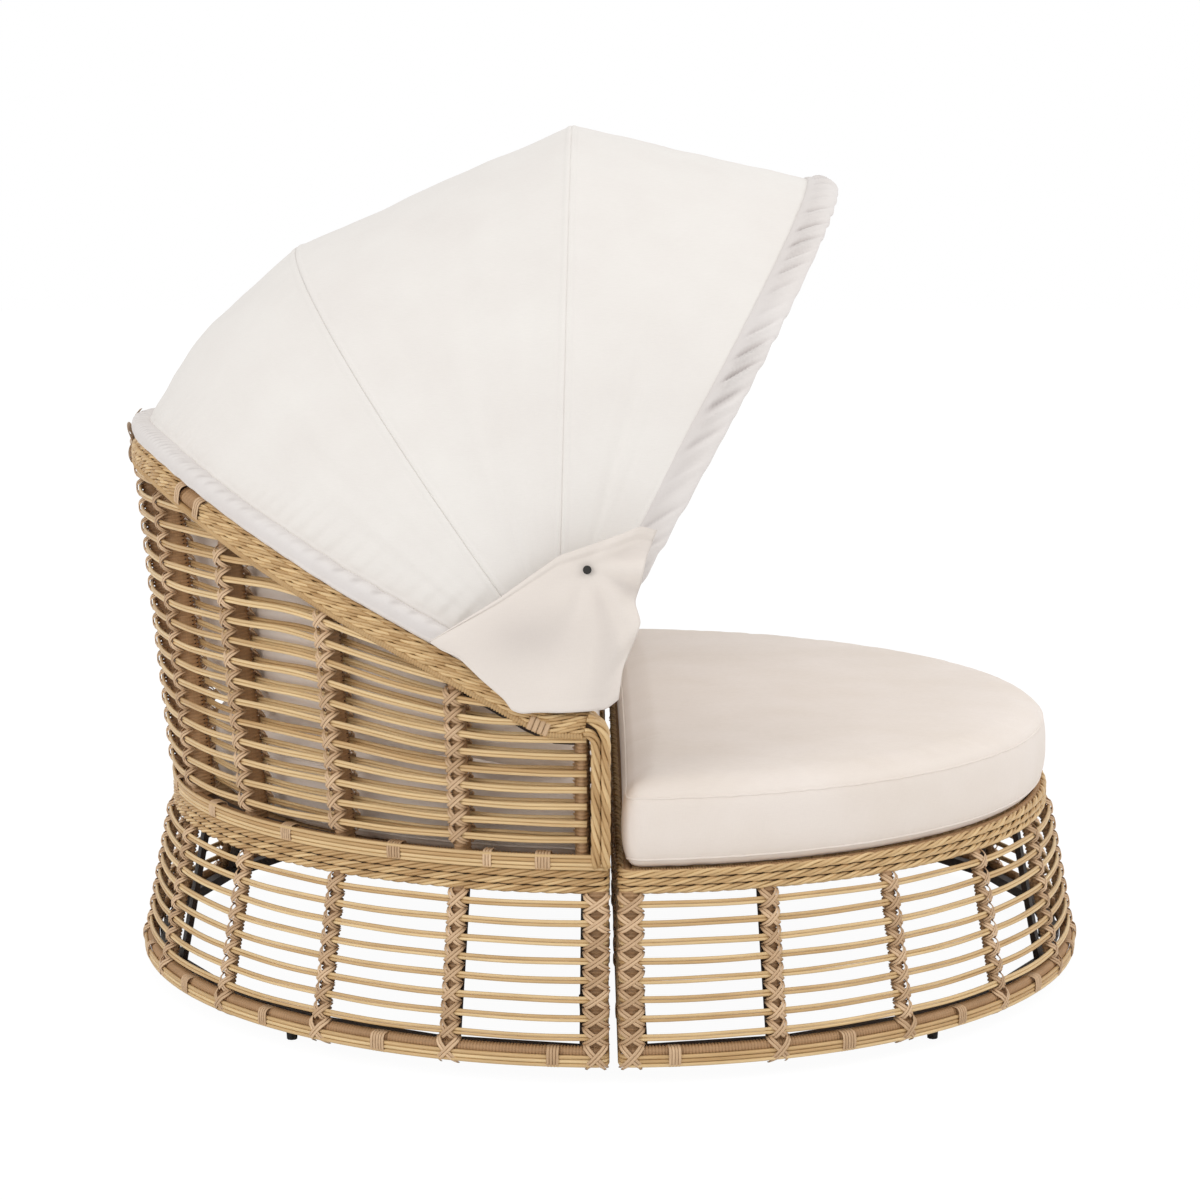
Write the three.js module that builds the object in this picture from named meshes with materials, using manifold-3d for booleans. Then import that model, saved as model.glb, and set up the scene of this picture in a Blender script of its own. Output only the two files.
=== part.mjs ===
// Round two-piece garden daybed: a half-moon seat with a woven back wall and a
// folding canopy, and a half-moon ottoman that pulls away from it.
// Millimetres, +Z up, +X towards the ottoman. The halves meet at the split plane.

import * as THREE from 'three';
import { mergeVertices } from 'three/addons/utils/BufferGeometryUtils.js';
import Module from 'manifold-3d';

const wasm = await Module();
wasm.setup();

const degree = Math.PI / 180;

// Plan and heights of the two bases
const baseBottomRadius = 900;
const baseTopRadius = 838;
const splitGap = 12;
const baseTopZ = 343.5;
const footReveal = 28;
const touchGap = 0.3;
const meshTolerance = 0.1;

// Cane work of the bases
const rimHeight = 33;
const rimDepth = 30;
const bandHeight = 40;
const bandDepth = 24;
const bays = 11;
const slatHeight = 14;
const slatDepth = 7;
const slatInset = 1.5;
const slatSeat = 1;
const crossingTries = 24;
const baseRows = 8;
const postWidth = 32;
const postDepth = 24;
const cornerPostWidth = 44;
const cornerRounding = 22;
const frontPosts = 3;

// Steel frame, deck and feet of the bases
const steelTube = 20;
const strutDepth = 10;
const strutBays = [1, 4, bays - 4, bays - 1];
const deckThickness = 9;
const deckRails = 3;
const footRadius = 11;
const footTipRadius = 9;
const footTurnShare = 0.225;
const frontFootShare = 0.56;

// Back wall
const wallLean = 0.095;
const armTopZ = 612;
const backTopZ = 1000;
const rimPlaneAtSplit = 551;
const rimPlaneAtBack = 1029;
const armRounding = 8;
const crestRounding = 30;
const rimKinkShare = 0.3;
const rimBraidHeight = 40;
const wallOverhang = 3;
const wallDepth = 62;
const armBraidWidth = 30;
const armBend = 32;
const armBendSteps = 3;
const wallRailHeight = 28;
const wallTube = 18;
const firstRowRise = 24;
const frontPitch = 28.4;
const backPitch = 36;
const pitchChangeStart = 12 * degree;
const pitchChangeEnd = 42 * degree;
const innerDepth = 15;
const innerRowSkip = 3;
const layerGap = 1.2;
const rimGap = 1.2;
const stileWidth = 24;
const spineBays = [2, 4, bays - 4, bays - 2];

// Cushions
const cushionHeight = 139;
const cushionCrown = 8;
const cushionCorner = 30;
const cushionSetback = 3;
const seatCushionSlack = 5;
const ottomanCushionOverhang = 13;
const pillowThickness = 120;
const crownUnderPillow = 4;
const pillowDrop = 26;
const pillowSlack = 9;
const pillowGapTurn = 1.2 * degree;

// Canopy: three bows on a common hub line at each arm
const hubSetback = 90;
const hubRise = 56;
const rearBowReach = 830;
const middleBowReach = 892;
const frontBowReach = 917;
const bowTube = 16;
const bowStep = 18;
const bowFaceGap = 7;
const rearBowAngle = 126.3 * degree;
const middleBowAngle = 88.8 * degree;
const frontBowAngle = 59.7 * degree;
const eyeRadius = 14;
const eyeThickness = 5;
const eyeLength = 46;
const eyeNeck = 12;
const eyeJoinShare = 0.6;
const tubeSides = 6;
const pinSides = 8;
const nutSides = 6;
const pivotRadius = 5;
const pivotHeadRadius = 10;
const pivotHeadHeight = 6;
const spacerRadius = 8;
const runningGap = 0.4;
const boreGap = 0.1;
const fabricLift = 9.2;
const fabricThickness = 1.5;
const fabricEndTurn = 9 * degree;
const panelBulge = 34;
const hemWidth = 42;
const hemThickness = 13;
const rollHeight = 36;
const rollWidth = 44;
const rollSeamShare = 0.2;
const rollEndTurn = 13.5 * degree;
const rollSeamGap = 1.1;
const rearRowShares = [0, 0.33, 0.67, 1];

// Hub bracket and its cover
const bracketThickness = 4;
const bracketLength = 72;
const bracketFlange = 30;
const bracketSetback = 36;
const coverBoltForward = 47;
const coverBoltRise = 174;
const coverBoltRadius = 3;
const coverBoltHead = 7;
const coverNutRadius = 5.6;
const coverBoltHeadHeight = 4;
const coverLength = 332;
const coverHeight = 286;
const coverBack = 298;
const coverDrop = 56;
const coverLean = 7.2 * degree;
const coverThickness = 3;
const coverGap = 5;

// Ribbon that ties the rear hem to the back rim
const ribbonSpan = 74;
const ribbonDrop = 66;
const ribbonThickness = 2;

// Colours
const cane = new THREE.MeshStandardMaterial({ color: 0xdebe8a, roughness: 0.55 });
const lashedCane = new THREE.MeshStandardMaterial({ color: 0xcfae80, roughness: 0.6 });
const braid = new THREE.MeshStandardMaterial({ color: 0xd3ad72, roughness: 0.55 });
const steel = new THREE.MeshStandardMaterial({ color: 0x2e211a, roughness: 0.5, metalness: 0.6 });
const blackPlastic = new THREE.MeshStandardMaterial({ color: 0x23201c, roughness: 0.6 });
const deckWeave = new THREE.MeshStandardMaterial({ color: 0xa98257, roughness: 0.7 });
const cushionCloth = new THREE.MeshStandardMaterial({ color: 0xe6dbd0, roughness: 0.9 });
const canopyCloth = new THREE.MeshStandardMaterial({ color: 0xece8e4, roughness: 0.9 });
const ribbonCloth = new THREE.MeshStandardMaterial({ color: 0xbfa78f, roughness: 0.9 });

// Shapes

function signedVolume(positions, index) {
  let total = 0;
  const corner = (i) => new THREE.Vector3().fromArray(positions, index[i] * 3);
  for (let i = 0; i < index.length; i += 3) {
    total += corner(i).dot(corner(i + 1).cross(corner(i + 2)));
  }
  return total;
}

function closedGeometry(positions, index) {
  if (signedVolume(positions, index) < 0) {
    index.reverse();
  }
  const geometry = new THREE.BufferGeometry();
  geometry.setAttribute('position', new THREE.Float32BufferAttribute(positions, 3));
  geometry.setIndex(index);
  return geometry;
}

// Skins a row of rings that all have the same number of points
function loft(rings, isLoop = false) {
  const sides = rings[0].length;
  const positions = rings.flat().flatMap((point) => point.toArray());
  const index = [];
  const spans = isLoop ? rings.length : rings.length - 1;
  for (let i = 0; i < spans; i++) {
    const here = i * sides;
    const next = ((i + 1) % rings.length) * sides;
    for (let j = 0; j < sides; j++) {
      const k = (j + 1) % sides;
      index.push(here + j, here + k, next + k, here + j, next + k, next + j);
    }
  }
  if (!isLoop) {
    const end = (rings.length - 1) * sides;
    for (let j = 1; j + 1 < sides; j++) {
      index.push(0, j + 1, j, end, end + j, end + j + 1);
    }
  }
  return closedGeometry(positions, index);
}

// A thin closed sheet between two grids of points
function sheet(inside, outside) {
  const rows = inside.length;
  const columns = inside[0].length;
  const positions = [inside, outside].flat(2).flatMap((point) => point.toArray());
  const at = (side, i, j) => side * rows * columns + i * columns + j;
  const index = [];
  const quad = (a, b, c, d) => index.push(a, b, c, a, c, d);
  for (let i = 0; i + 1 < rows; i++) {
    for (let j = 0; j + 1 < columns; j++) {
      quad(at(0, i, j), at(0, i, j + 1), at(0, i + 1, j + 1), at(0, i + 1, j));
      quad(at(1, i, j), at(1, i + 1, j), at(1, i + 1, j + 1), at(1, i, j + 1));
    }
    const last = columns - 1;
    quad(at(0, i, 0), at(0, i + 1, 0), at(1, i + 1, 0), at(1, i, 0));
    quad(at(0, i, last), at(1, i, last), at(1, i + 1, last), at(0, i + 1, last));
  }
  for (let j = 0; j + 1 < columns; j++) {
    const last = rows - 1;
    quad(at(0, 0, j), at(1, 0, j), at(1, 0, j + 1), at(0, 0, j + 1));
    quad(at(0, last, j), at(0, last, j + 1), at(1, last, j + 1), at(1, last, j));
  }
  return closedGeometry(positions, index);
}

function welded(geometry) {
  const bare = geometry.clone();
  bare.deleteAttribute('normal');
  bare.deleteAttribute('uv');
  return mergeVertices(bare);
}

// The same piece on the other arm
function mirrored(geometry) {
  const { attributes, index } = welded(geometry);
  const positions = Array.from(attributes.position.array);
  for (let i = 1; i < positions.length; i += 3) {
    positions[i] = -positions[i];
  }
  return closedGeometry(positions, Array.from(index.array));
}

function toSolid(geometry) {
  const merged = welded(geometry);
  return new wasm.Manifold(new wasm.Mesh({
    numProp: 3,
    tolerance: meshTolerance,
    vertProperties: new Float32Array(merged.attributes.position.array),
    triVerts: new Uint32Array(merged.index.array),
  }));
}

function toGeometry(solid) {
  const mesh = solid.getMesh();
  const geometry = new THREE.BufferGeometry();
  geometry.setAttribute('position', new THREE.Float32BufferAttribute(mesh.vertProperties, 3));
  geometry.setIndex(Array.from(mesh.triVerts));
  return geometry;
}

function join(geometries) {
  return toGeometry(geometries.map(toSolid).reduce((sum, solid) => sum.add(solid)));
}

function cut(geometry, tools) {
  return toGeometry(tools.map(toSolid).reduce((rest, tool) => rest.subtract(tool), toSolid(geometry)));
}

function boxBetween(low, high) {
  const size = new THREE.Vector3().subVectors(high, low);
  const middle = new THREE.Vector3().addVectors(low, high).multiplyScalar(0.5);
  return new THREE.BoxGeometry(...size.toArray()).translate(...middle.toArray());
}

// Half-moon plan: turn runs from 0 at the near end of the split to a half turn at its far end

function polar(radius, turn, z) {
  return new THREE.Vector3(-radius * Math.sin(turn), -radius * Math.cos(turn), z);
}

function outwards(turn) {
  return new THREE.Vector3(-Math.sin(turn), -Math.cos(turn), 0);
}

function alongArc(turn) {
  return new THREE.Vector3(-Math.cos(turn), Math.sin(turn), 0);
}

const splitFace = splitGap / 2;
const cornerTurn = Math.asin((splitFace + cornerPostWidth / 2) / baseTopRadius);
const bayTurn = (Math.PI - 2 * cornerTurn) / bays;
const postTurn = (i) => cornerTurn + i * bayTurn;

// Plan points of a half-moon loop whose outer edge has the given radius and split face.
// Each point carries its outward direction, so a section can be hung on it.
function halfMoon(radius, face, rounding, inset, stepsPerBay) {
  const arcRadius = radius - inset;
  const flat = face + inset;
  const fillet = Math.max(rounding - inset, touchGap);
  const filletX = flat + fillet;
  const filletY = Math.sqrt((arcRadius - fillet) ** 2 - filletX ** 2);
  const joinTurn = Math.atan2(filletX, filletY);
  const points = [];
  const arcSteps = bays * stepsPerBay;
  for (let i = 0; i <= arcSteps; i++) {
    const turn = joinTurn + (Math.PI - 2 * joinTurn) * i / arcSteps;
    points.push({ place: polar(arcRadius, turn, 0), outward: outwards(turn) });
  }
  for (const side of [1, -1]) {
    const middle = new THREE.Vector3(-filletX, side * filletY, 0);
    const from = side > 0 ? Math.PI - joinTurn : 1.5 * Math.PI;
    const to = side > 0 ? 1.5 * Math.PI : 2 * Math.PI + joinTurn;
    const turns = side > 0 ? [0.5, 1] : [0, 0.5];
    for (const share of turns) {
      const turn = from + (to - from) * share;
      const outward = outwards(turn);
      points.push({ place: middle.clone().addScaledVector(outward, fillet), outward });
    }
  }
  return points;
}

// Sweeps a section round a half-moon loop. The section lists [inset, z] pairs.
function halfMoonLoop(radius, section, stepsPerBay = 2) {
  const columns = section.map(([inset, z]) => {
    const points = halfMoon(radius, splitFace, cornerRounding, inset, stepsPerBay);
    return points.map(({ place }) => place.clone().setZ(z));
  });
  const rings = columns[0].map((_, i) => columns.map((column) => column[i]));
  return loft(rings, true);
}

function scaledSection(shares, depth, height, inset, z) {
  return shares.map(([depthShare, heightShare]) => [inset + depthShare * depth, z + heightShare * height]);
}

// Bases

const rimTopZ = footReveal + rimHeight;
const bandBottomZ = baseTopZ - bandHeight;
const baseRadiusAt = (z) => {
  const share = (baseTopZ - z) / (baseTopZ - footReveal);
  return baseTopRadius + (baseBottomRadius - baseTopRadius) * share;
};
const baseRowPitch = (bandBottomZ - rimTopZ) / baseRows;
const baseRowZ = (i) => rimTopZ + (i + 0.5) * baseRowPitch;

const rimSectionShares = [[0.3, 0], [0, 0.15], [0, 0.5], [0.25, 0.62], [0.25, 1], [1, 1], [1, 0.05]];
const bandSectionShares = [[0.2, 0], [0, 0.2], [0.1, 0.5], [0, 0.8], [0.2, 1], [1, 1], [1, 0]];

function bottomRim() {
  return halfMoonLoop(baseBottomRadius, scaledSection(rimSectionShares, rimDepth, rimHeight, 0, footReveal));
}

function topBand() {
  return halfMoonLoop(baseTopRadius, scaledSection(bandSectionShares, bandDepth, bandHeight, 0, bandBottomZ));
}

const tubeSectionShares = [[0, 0], [0, 1], [1, 1], [1, 0]];
const strutSectionShares = [[1, 1], [-1, 1], [-1, -1], [1, -1]];
const lowerTubeInset = rimDepth + touchGap;
const upperTubeInset = bandDepth + touchGap;
const lowerTubeZ = footReveal + (rimHeight - steelTube) / 2;
const deckBottomZ = baseTopZ - deckThickness;
const upperTubeZ = deckBottomZ - touchGap - steelTube;

function strut(turn) {
  const ring = (radius, z) => {
    const middle = polar(radius - steelTube / 2, turn, z);
    const out = outwards(turn).multiplyScalar(strutDepth / 2);
    const along = alongArc(turn).multiplyScalar(steelTube / 2);
    return strutSectionShares.map(([outShare, alongShare]) => {
      return middle.clone().addScaledVector(out, outShare).addScaledVector(along, alongShare);
    });
  };
  const lowZ = lowerTubeZ + steelTube / 2;
  const highZ = upperTubeZ + steelTube / 2;
  return loft([ring(baseBottomRadius - lowerTubeInset, lowZ), ring(baseTopRadius - upperTubeInset, highZ)]);
}

function baseFrame() {
  const lowerSection = scaledSection(tubeSectionShares, steelTube, steelTube, lowerTubeInset, lowerTubeZ);
  const upperSection = scaledSection(tubeSectionShares, steelTube, steelTube, upperTubeInset, upperTubeZ);
  const parts = [
    halfMoonLoop(baseBottomRadius, lowerSection, 1),
    halfMoonLoop(baseTopRadius, upperSection, 1),
  ];
  for (const bay of strutBays) {
    parts.push(strut(postTurn(bay)));
  }
  const railStart = splitFace + upperTubeInset + steelTube / 2;
  for (let i = 0; i < deckRails; i++) {
    const y = ((i + 1) / (deckRails + 1) * 2 - 1) * (baseTopRadius - upperTubeInset);
    const reach = Math.sqrt((baseTopRadius - upperTubeInset - steelTube / 2) ** 2 - y ** 2);
    parts.push(boxBetween(
      new THREE.Vector3(-reach, y - steelTube / 2, upperTubeZ),
      new THREE.Vector3(-railStart, y + steelTube / 2, upperTubeZ + steelTube),
    ));
  }
  return join(parts);
}

function deck() {
  const inset = bandDepth + touchGap;
  const outline = (z) => halfMoon(baseTopRadius, splitFace, cornerRounding, inset, 1)
    .map(({ place }) => place.clone().setZ(z));
  return loft([outline(deckBottomZ), outline(baseTopZ)]);
}

const footTopZ = lowerTubeZ - touchGap;
const footRingRadius = (baseBottomRadius - lowerTubeInset - steelTube / 2) * Math.cos(bayTurn / 2);
const frontFootX = -(splitFace + lowerTubeInset + touchGap + footRadius);
const footPlaces = {
  near: polar(footRingRadius, Math.PI * footTurnShare, 0),
  far: polar(footRingRadius, Math.PI * (1 - footTurnShare), 0),
  back: polar(footRingRadius, Math.PI / 2, 0),
  split_near: new THREE.Vector3(frontFootX, -baseBottomRadius * frontFootShare, 0),
  split_far: new THREE.Vector3(frontFootX, baseBottomRadius * frontFootShare, 0),
};

function foot() {
  return new THREE.CylinderGeometry(footRadius, footTipRadius, footTopZ, pinSides)
    .rotateX(Math.PI / 2)
    .translate(0, 0, footTopZ / 2);
}

// Corners of a post or slat: how far in from the surface, and to which side of its middle
const barSectionShares = [[0, -1], [0, 1], [1, 1], [1, -1]];

// Cane rows between upright posts, which all stand on a leaning round surface.
// surface gives its radius at a height, rowZ the height of a row, top and bottom the ends of the posts.
function lattice(spec) {
  const parts = spec.posts.filter((post) => post.isOwn).map((post) => latticePost(spec, post));
  for (let row = 0; row < spec.rows; row++) {
    for (let i = 0; i + 1 < spec.posts.length; i++) {
      parts.push(...latticeSlat(spec, row, spec.posts[i], spec.posts[i + 1]));
    }
  }
  return join(parts);
}

function latticePost(spec, { turn, width }) {
  const ring = (z) => barSectionShares.map(([inside, side]) => {
    const height = z ?? spec.top(turn + side * width / 2 / spec.surface(spec.bottom));
    return polar(spec.surface(height) - inside * spec.depth, turn, height)
      .addScaledVector(alongArc(turn), side * width / 2);
  });
  return loft([ring(spec.bottom), ring(null)]);
}

// One cane pair across a bay. It seats in the posts of its own piece and stops short of any other.
function latticeSlat(spec, row, first, last) {
  const clears = (turn) => spec.rowZ(row, turn) + slatHeight / 2 < spec.top(turn);
  const endTurn = (post, side) => {
    const outer = spec.surface(spec.rowZ(row, post.turn)) - spec.slatInset;
    if (post.isOwn) {
      return post.turn + side * (post.width / 2 - slatSeat) / outer;
    }
    return post.turn + side * (post.width / 2 + touchGap) / (outer - slatDepth);
  };
  let from = endTurn(first, 1);
  let to = endTurn(last, -1);
  if (!clears(from) && !clears(to)) {
    return [];
  }
  if (!clears(from)) {
    from = crossingTurn(clears, from, to);
  }
  if (!clears(to)) {
    to = crossingTurn(clears, from, to);
  }
  return [loft([from, to].map((turn) => {
    const z = spec.rowZ(row, turn);
    const outer = spec.surface(z) - spec.slatInset;
    return barSectionShares.map(([inside, up]) => {
      return polar(outer - inside * slatDepth, turn, z + up * slatHeight / 2);
    });
  }))];
}

// Finds where a row runs into the sloping rim between two turns
function crossingTurn(clears, from, to) {
  const [inside, outside] = clears(from) ? [from, to] : [to, from];
  let low = inside;
  let high = outside;
  for (let i = 0; i < crossingTries; i++) {
    const middle = (low + high) / 2;
    if (clears(middle)) {
      low = middle;
    } else {
      high = middle;
    }
  }
  return low;
}

// Turns at which a row bends: each post it passes and the middle of each bay.
// stops lists the turns of posts that stand outside this even spacing.
function rowSteps(from, to, stepsPerBay, stops = []) {
  const turns = [];
  for (let i = 0; i <= bays * stepsPerBay; i++) {
    const turn = cornerTurn + i * bayTurn / stepsPerBay;
    if (turn > from + bayTurn / 4 && turn < to - bayTurn / 4) {
      turns.push(turn);
    }
  }
  const inner = stops.filter((turn) => turn > from && turn < to);
  return [from, ...turns, ...inner, to].sort((a, b) => a - b);
}

const sectorBays = [0, 4, 7, bays];

// Posts of a third of the lattice. The middle third borrows the end posts of its neighbours.
function sectorPosts(sector, endTurns, endWidth) {
  const first = sectorBays[sector];
  const last = sectorBays[sector + 1];
  const posts = [];
  for (let i = first; i <= last; i++) {
    const isEnd = i === 0 || i === bays;
    posts.push({
      turn: isEnd ? endTurns[i / bays] : postTurn(i),
      width: isEnd ? endWidth : postWidth,
      isOwn: sector !== 1 || (i > first && i < last),
    });
  }
  return posts;
}

function baseWeave(sector) {
  return lattice({
    surface: baseRadiusAt,
    posts: sectorPosts(sector, [postTurn(0), postTurn(bays)], cornerPostWidth - touchGap),
    depth: postDepth,
    bottom: rimTopZ + touchGap,
    top: () => bandBottomZ - touchGap,
    rows: baseRows,
    rowZ: baseRowZ,
    slatInset,
  });
}

// The flat lattice on the split face
function frontWeave() {
  const parts = [];
  const outerX = -splitFace;
  const postY = (i) => ((i + 1) / (frontPosts + 1) * 2 - 1) * baseTopRadius;
  const postBox = (y) => boxBetween(
    new THREE.Vector3(outerX - postDepth, y - postWidth / 2, rimTopZ + touchGap),
    new THREE.Vector3(outerX, y + postWidth / 2, bandBottomZ - touchGap),
  );
  for (let i = 0; i < frontPosts; i++) {
    parts.push(postBox(postY(i)));
  }
  for (let row = 0; row < baseRows; row++) {
    const reach = baseRadiusAt(baseRowZ(row) + slatHeight / 2) - postDepth - touchGap;
    for (let i = 0; i <= frontPosts; i++) {
      const start = i === 0 ? -reach : postY(i - 1) + postWidth / 2 - slatSeat;
      const end = i === frontPosts ? reach : postY(i) - postWidth / 2 + slatSeat;
      parts.push(boxBetween(
        new THREE.Vector3(outerX - slatInset - slatDepth, start, baseRowZ(row) - slatHeight / 2),
        new THREE.Vector3(outerX - slatInset, end, baseRowZ(row) + slatHeight / 2),
      ));
    }
  }
  return join(parts);
}

// Back wall

const wallRadiusAt = (z) => baseTopRadius + wallLean * (z - baseTopZ);

const armLegX = splitFace + armBraidWidth / 2;
const armLegInnerX = splitFace + armBraidWidth;
const bendX = armLegX + armBend;
const middleRadiusAt = (z) => wallRadiusAt(z) + wallOverhang - wallDepth / 2;
const bendTurn = Math.asin(bendX / middleRadiusAt(armTopZ));
const kinkTurn = cornerTurn + rimKinkShare * bayTurn;
const rimStops = rowSteps(bendTurn, Math.PI - bendTurn, 2, [kinkTurn, Math.PI - kinkTurn]);

// The rim is level over each arm's front, climbs in one plane, and levels out at the back
function rimCurveAt(turn) {
  const plane = rimPlaneAtSplit + (rimPlaneAtBack - rimPlaneAtSplit) * Math.sin(turn);
  const lifted = (plane + armTopZ + Math.hypot(plane - armTopZ, armRounding)) / 2;
  return (lifted + backTopZ - Math.hypot(lifted - backTopZ, crestRounding)) / 2;
}

// The same height on the straight stretches between the rim's stops
function rimTopAt(turn) {
  const held = THREE.MathUtils.clamp(turn, bendTurn, Math.PI - bendTurn);
  const next = Math.max(rimStops.findIndex((stop) => stop >= held), 1);
  const share = (held - rimStops[next - 1]) / (rimStops[next] - rimStops[next - 1]);
  return THREE.MathUtils.lerp(rimCurveAt(rimStops[next - 1]), rimCurveAt(rimStops[next]), share);
}

function stopsBetween(from, to) {
  return [from, ...rimStops.filter((turn) => turn > from && turn < to), to];
}

const bendZ = rimTopAt(0) - rimBraidHeight / 2 - armBend;
const innerBendX = bendX - armLegInnerX;
const innerBendZ = armBend - rimBraidHeight / 2;

// Height of the rim's underside, with the rounded corner over the arm's front
function rimUnderAt(turn) {
  const under = rimTopAt(turn) - rimBraidHeight;
  const x = (wallRadiusAt(armTopZ) - wallDepth) * Math.sin(turn);
  const reach = Math.min(Math.max((bendX - x) / innerBendX, 0), 1);
  return under - innerBendZ * (1 - Math.sqrt(1 - reach ** 2));
}

const braidSectionShares = [
  [1, 0.5], [0.65, 1], [-0.65, 1], [-1, 0.5], [-1, -0.5], [-0.65, -1], [0.65, -1], [1, -0.5],
];

function sectionRing(middle, outward, upward, width, height) {
  return braidSectionShares.map(([widthShare, heightShare]) => middle.clone()
    .addScaledVector(outward, widthShare * width / 2)
    .addScaledVector(upward, heightShare * height / 2));
}

// The thick braid that runs down the arm's front, over the arm and round the back
function backRim() {
  const rings = [];
  const legBottomZ = baseTopZ + touchGap + wallRailHeight + touchGap;
  const half = [];
  const addLegRing = (x, z, tilt, height) => {
    const radius = middleRadiusAt(z);
    const turn = Math.asin(x / radius);
    const upward = new THREE.Vector3(Math.cos(tilt), 0, Math.sin(tilt));
    const outward = new THREE.Vector3(0, -1, 0);
    half.push({ middle: polar(radius, turn, z), outward, upward, height });
  };
  addLegRing(armLegX, legBottomZ, 0, armBraidWidth);
  addLegRing(armLegX, bendZ, 0, armBraidWidth);
  for (let i = 1; i < armBendSteps; i++) {
    const tilt = i / armBendSteps * Math.PI / 2;
    const height = armBraidWidth + (rimBraidHeight - armBraidWidth) * i / armBendSteps;
    addLegRing(bendX - armBend * Math.cos(tilt), bendZ + armBend * Math.sin(tilt), tilt, height);
  }
  rings.push(...half.map(({ middle, outward, upward, height }) => {
    return sectionRing(middle, outward, upward, wallDepth, height);
  }));
  for (const turn of rimStops) {
    const z = rimTopAt(turn) - rimBraidHeight / 2;
    const upward = new THREE.Vector3(0, 0, 1);
    const middle = polar(middleRadiusAt(z), turn, z);
    rings.push(sectionRing(middle, outwards(turn), upward, wallDepth, rimBraidHeight));
  }
  for (const { middle, outward, upward, height } of half.reverse()) {
    const flip = (v) => new THREE.Vector3(v.x, -v.y, v.z);
    rings.push(sectionRing(flip(middle), flip(outward), upward, wallDepth, height));
  }
  return loft(rings);
}

const railSectionShares = [[0, 0.2], [0, 0.8], [0.3, 1], [1, 1], [1, 0], [0.3, 0]];

// The cane bundle that the back wall's outer layer stands on
function wallRail() {
  const bottomZ = baseTopZ + touchGap;
  const start = Math.asin(splitFace / baseTopRadius);
  const rings = rowSteps(start, Math.PI - start, 2, stileTurns).map((turn) => {
    return railSectionShares.map(([inside, up]) => {
      const z = bottomZ + up * wallRailHeight;
      return polar(wallRadiusAt(z) - inside * postDepth, turn, z);
    });
  });
  return loft(rings);
}

const wallRowsZ = baseTopZ + wallRailHeight + firstRowRise;
const wallRows = Math.ceil((backTopZ - wallRowsZ) / backPitch);
const stileX = armLegInnerX + touchGap + stileWidth / 2;
const stileTurn = Math.asin(stileX / (baseTopRadius - wallDepth));
const stileTurns = [stileTurn, Math.PI - stileTurn];

function wallPitchAt(turn) {
  const nearEnd = Math.min(turn, Math.PI - turn);
  const share = THREE.MathUtils.smoothstep(nearEnd, pitchChangeStart, pitchChangeEnd);
  return frontPitch + (backPitch - frontPitch) * share;
}

function wallWeave(sector, layer) {
  return lattice({
    surface: (z) => wallRadiusAt(z) - layer.inset,
    posts: sectorPosts(sector, stileTurns, stileWidth - touchGap),
    depth: layer.depth,
    bottom: layer.bottom,
    top: (turn) => rimUnderAt(turn) - rimGap,
    rows: Math.ceil(wallRows / layer.skip),
    rowZ: (row, turn) => wallRowsZ + row * layer.skip * wallPitchAt(turn),
    slatInset: layer.slatInset,
  });
}

const outerLayer = {
  inset: 0,
  depth: postDepth,
  slatInset,
  bottom: baseTopZ + 2 * touchGap + wallRailHeight,
  skip: 1,
};
const innerLayer = {
  inset: postDepth + wallTube + 2 * layerGap,
  depth: innerDepth,
  slatInset: innerDepth - slatDepth - slatInset,
  bottom: baseTopZ + touchGap,
  skip: innerRowSkip,
};

// Steel posts and rails between the two layers of canes
function backFrame() {
  const inset = postDepth + layerGap;
  const square = (turn, z) => tubeSectionShares.map(([inside, up]) => {
    const height = z + up * wallTube;
    return polar(wallRadiusAt(height) - inset - inside * wallTube, turn, height);
  });
  const bottomZ = baseTopZ + touchGap;
  const topRailZ = (turn) => rimUnderAt(turn) - rimGap - wallTube;
  const parts = [
    loft(rowSteps(...stileTurns, 2).map((turn) => square(turn, bottomZ))),
    loft(stopsBetween(...stileTurns).map((turn) => square(turn, topRailZ(turn)))),
  ];
  for (const turn of [...stileTurns, ...spineBays.map(postTurn)]) {
    const ring = (z) => barSectionShares.map(([inside, side]) => {
      return polar(wallRadiusAt(z) - inset - inside * wallTube, turn, z)
        .addScaledVector(alongArc(turn), side * wallTube / 2);
    });
    parts.push(loft([ring(bottomZ + wallTube / 2), ring(topRailZ(turn) + wallTube / 2)]));
  }
  return join(parts);
}

// Cushions

// Rings of a cushion: inset as a share of its radius, then shares of its height and of its crown
const cushionLevelShares = [
  [0.03, 0, 0], [0.008, 0.06, 0], [0, 0.35, 0], [0, 0.7, 0],
  [0.006, 0.95, 0], [0.03, 1, 0.15], [0.12, 1, 0.75], [0.34, 1, 1],
];

// A boxed half-moon cushion: flat below, a swollen side wall, a seam and a low crown
function halfMoonCushion(radius, face) {
  const bottomZ = baseTopZ + touchGap;
  const rings = cushionLevelShares.map(([insetShare, heightShare, crownShare]) => {
    const inset = insetShare * radius;
    const rounding = inset + cushionCorner;
    const z = bottomZ + heightShare * cushionHeight + crownShare * cushionCrown;
    return halfMoon(radius, face, rounding, inset, 1).map(({ place }) => place.clone().setZ(z));
  });
  return loft(rings);
}

const pillowBottomZ = baseTopZ + touchGap + cushionHeight + crownUnderPillow;
const innerFaceAt = (z) => wallRadiusAt(z) - innerLayer.inset - innerLayer.depth;

const pillowSectionShares = [
  [0.5, 0], [0.12, 0.06], [0, 0.3], [0, 0.7], [0.18, 0.95],
  [0.5, 1], [0.82, 0.95], [1, 0.7], [1, 0.3], [0.88, 0.06],
];

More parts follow.
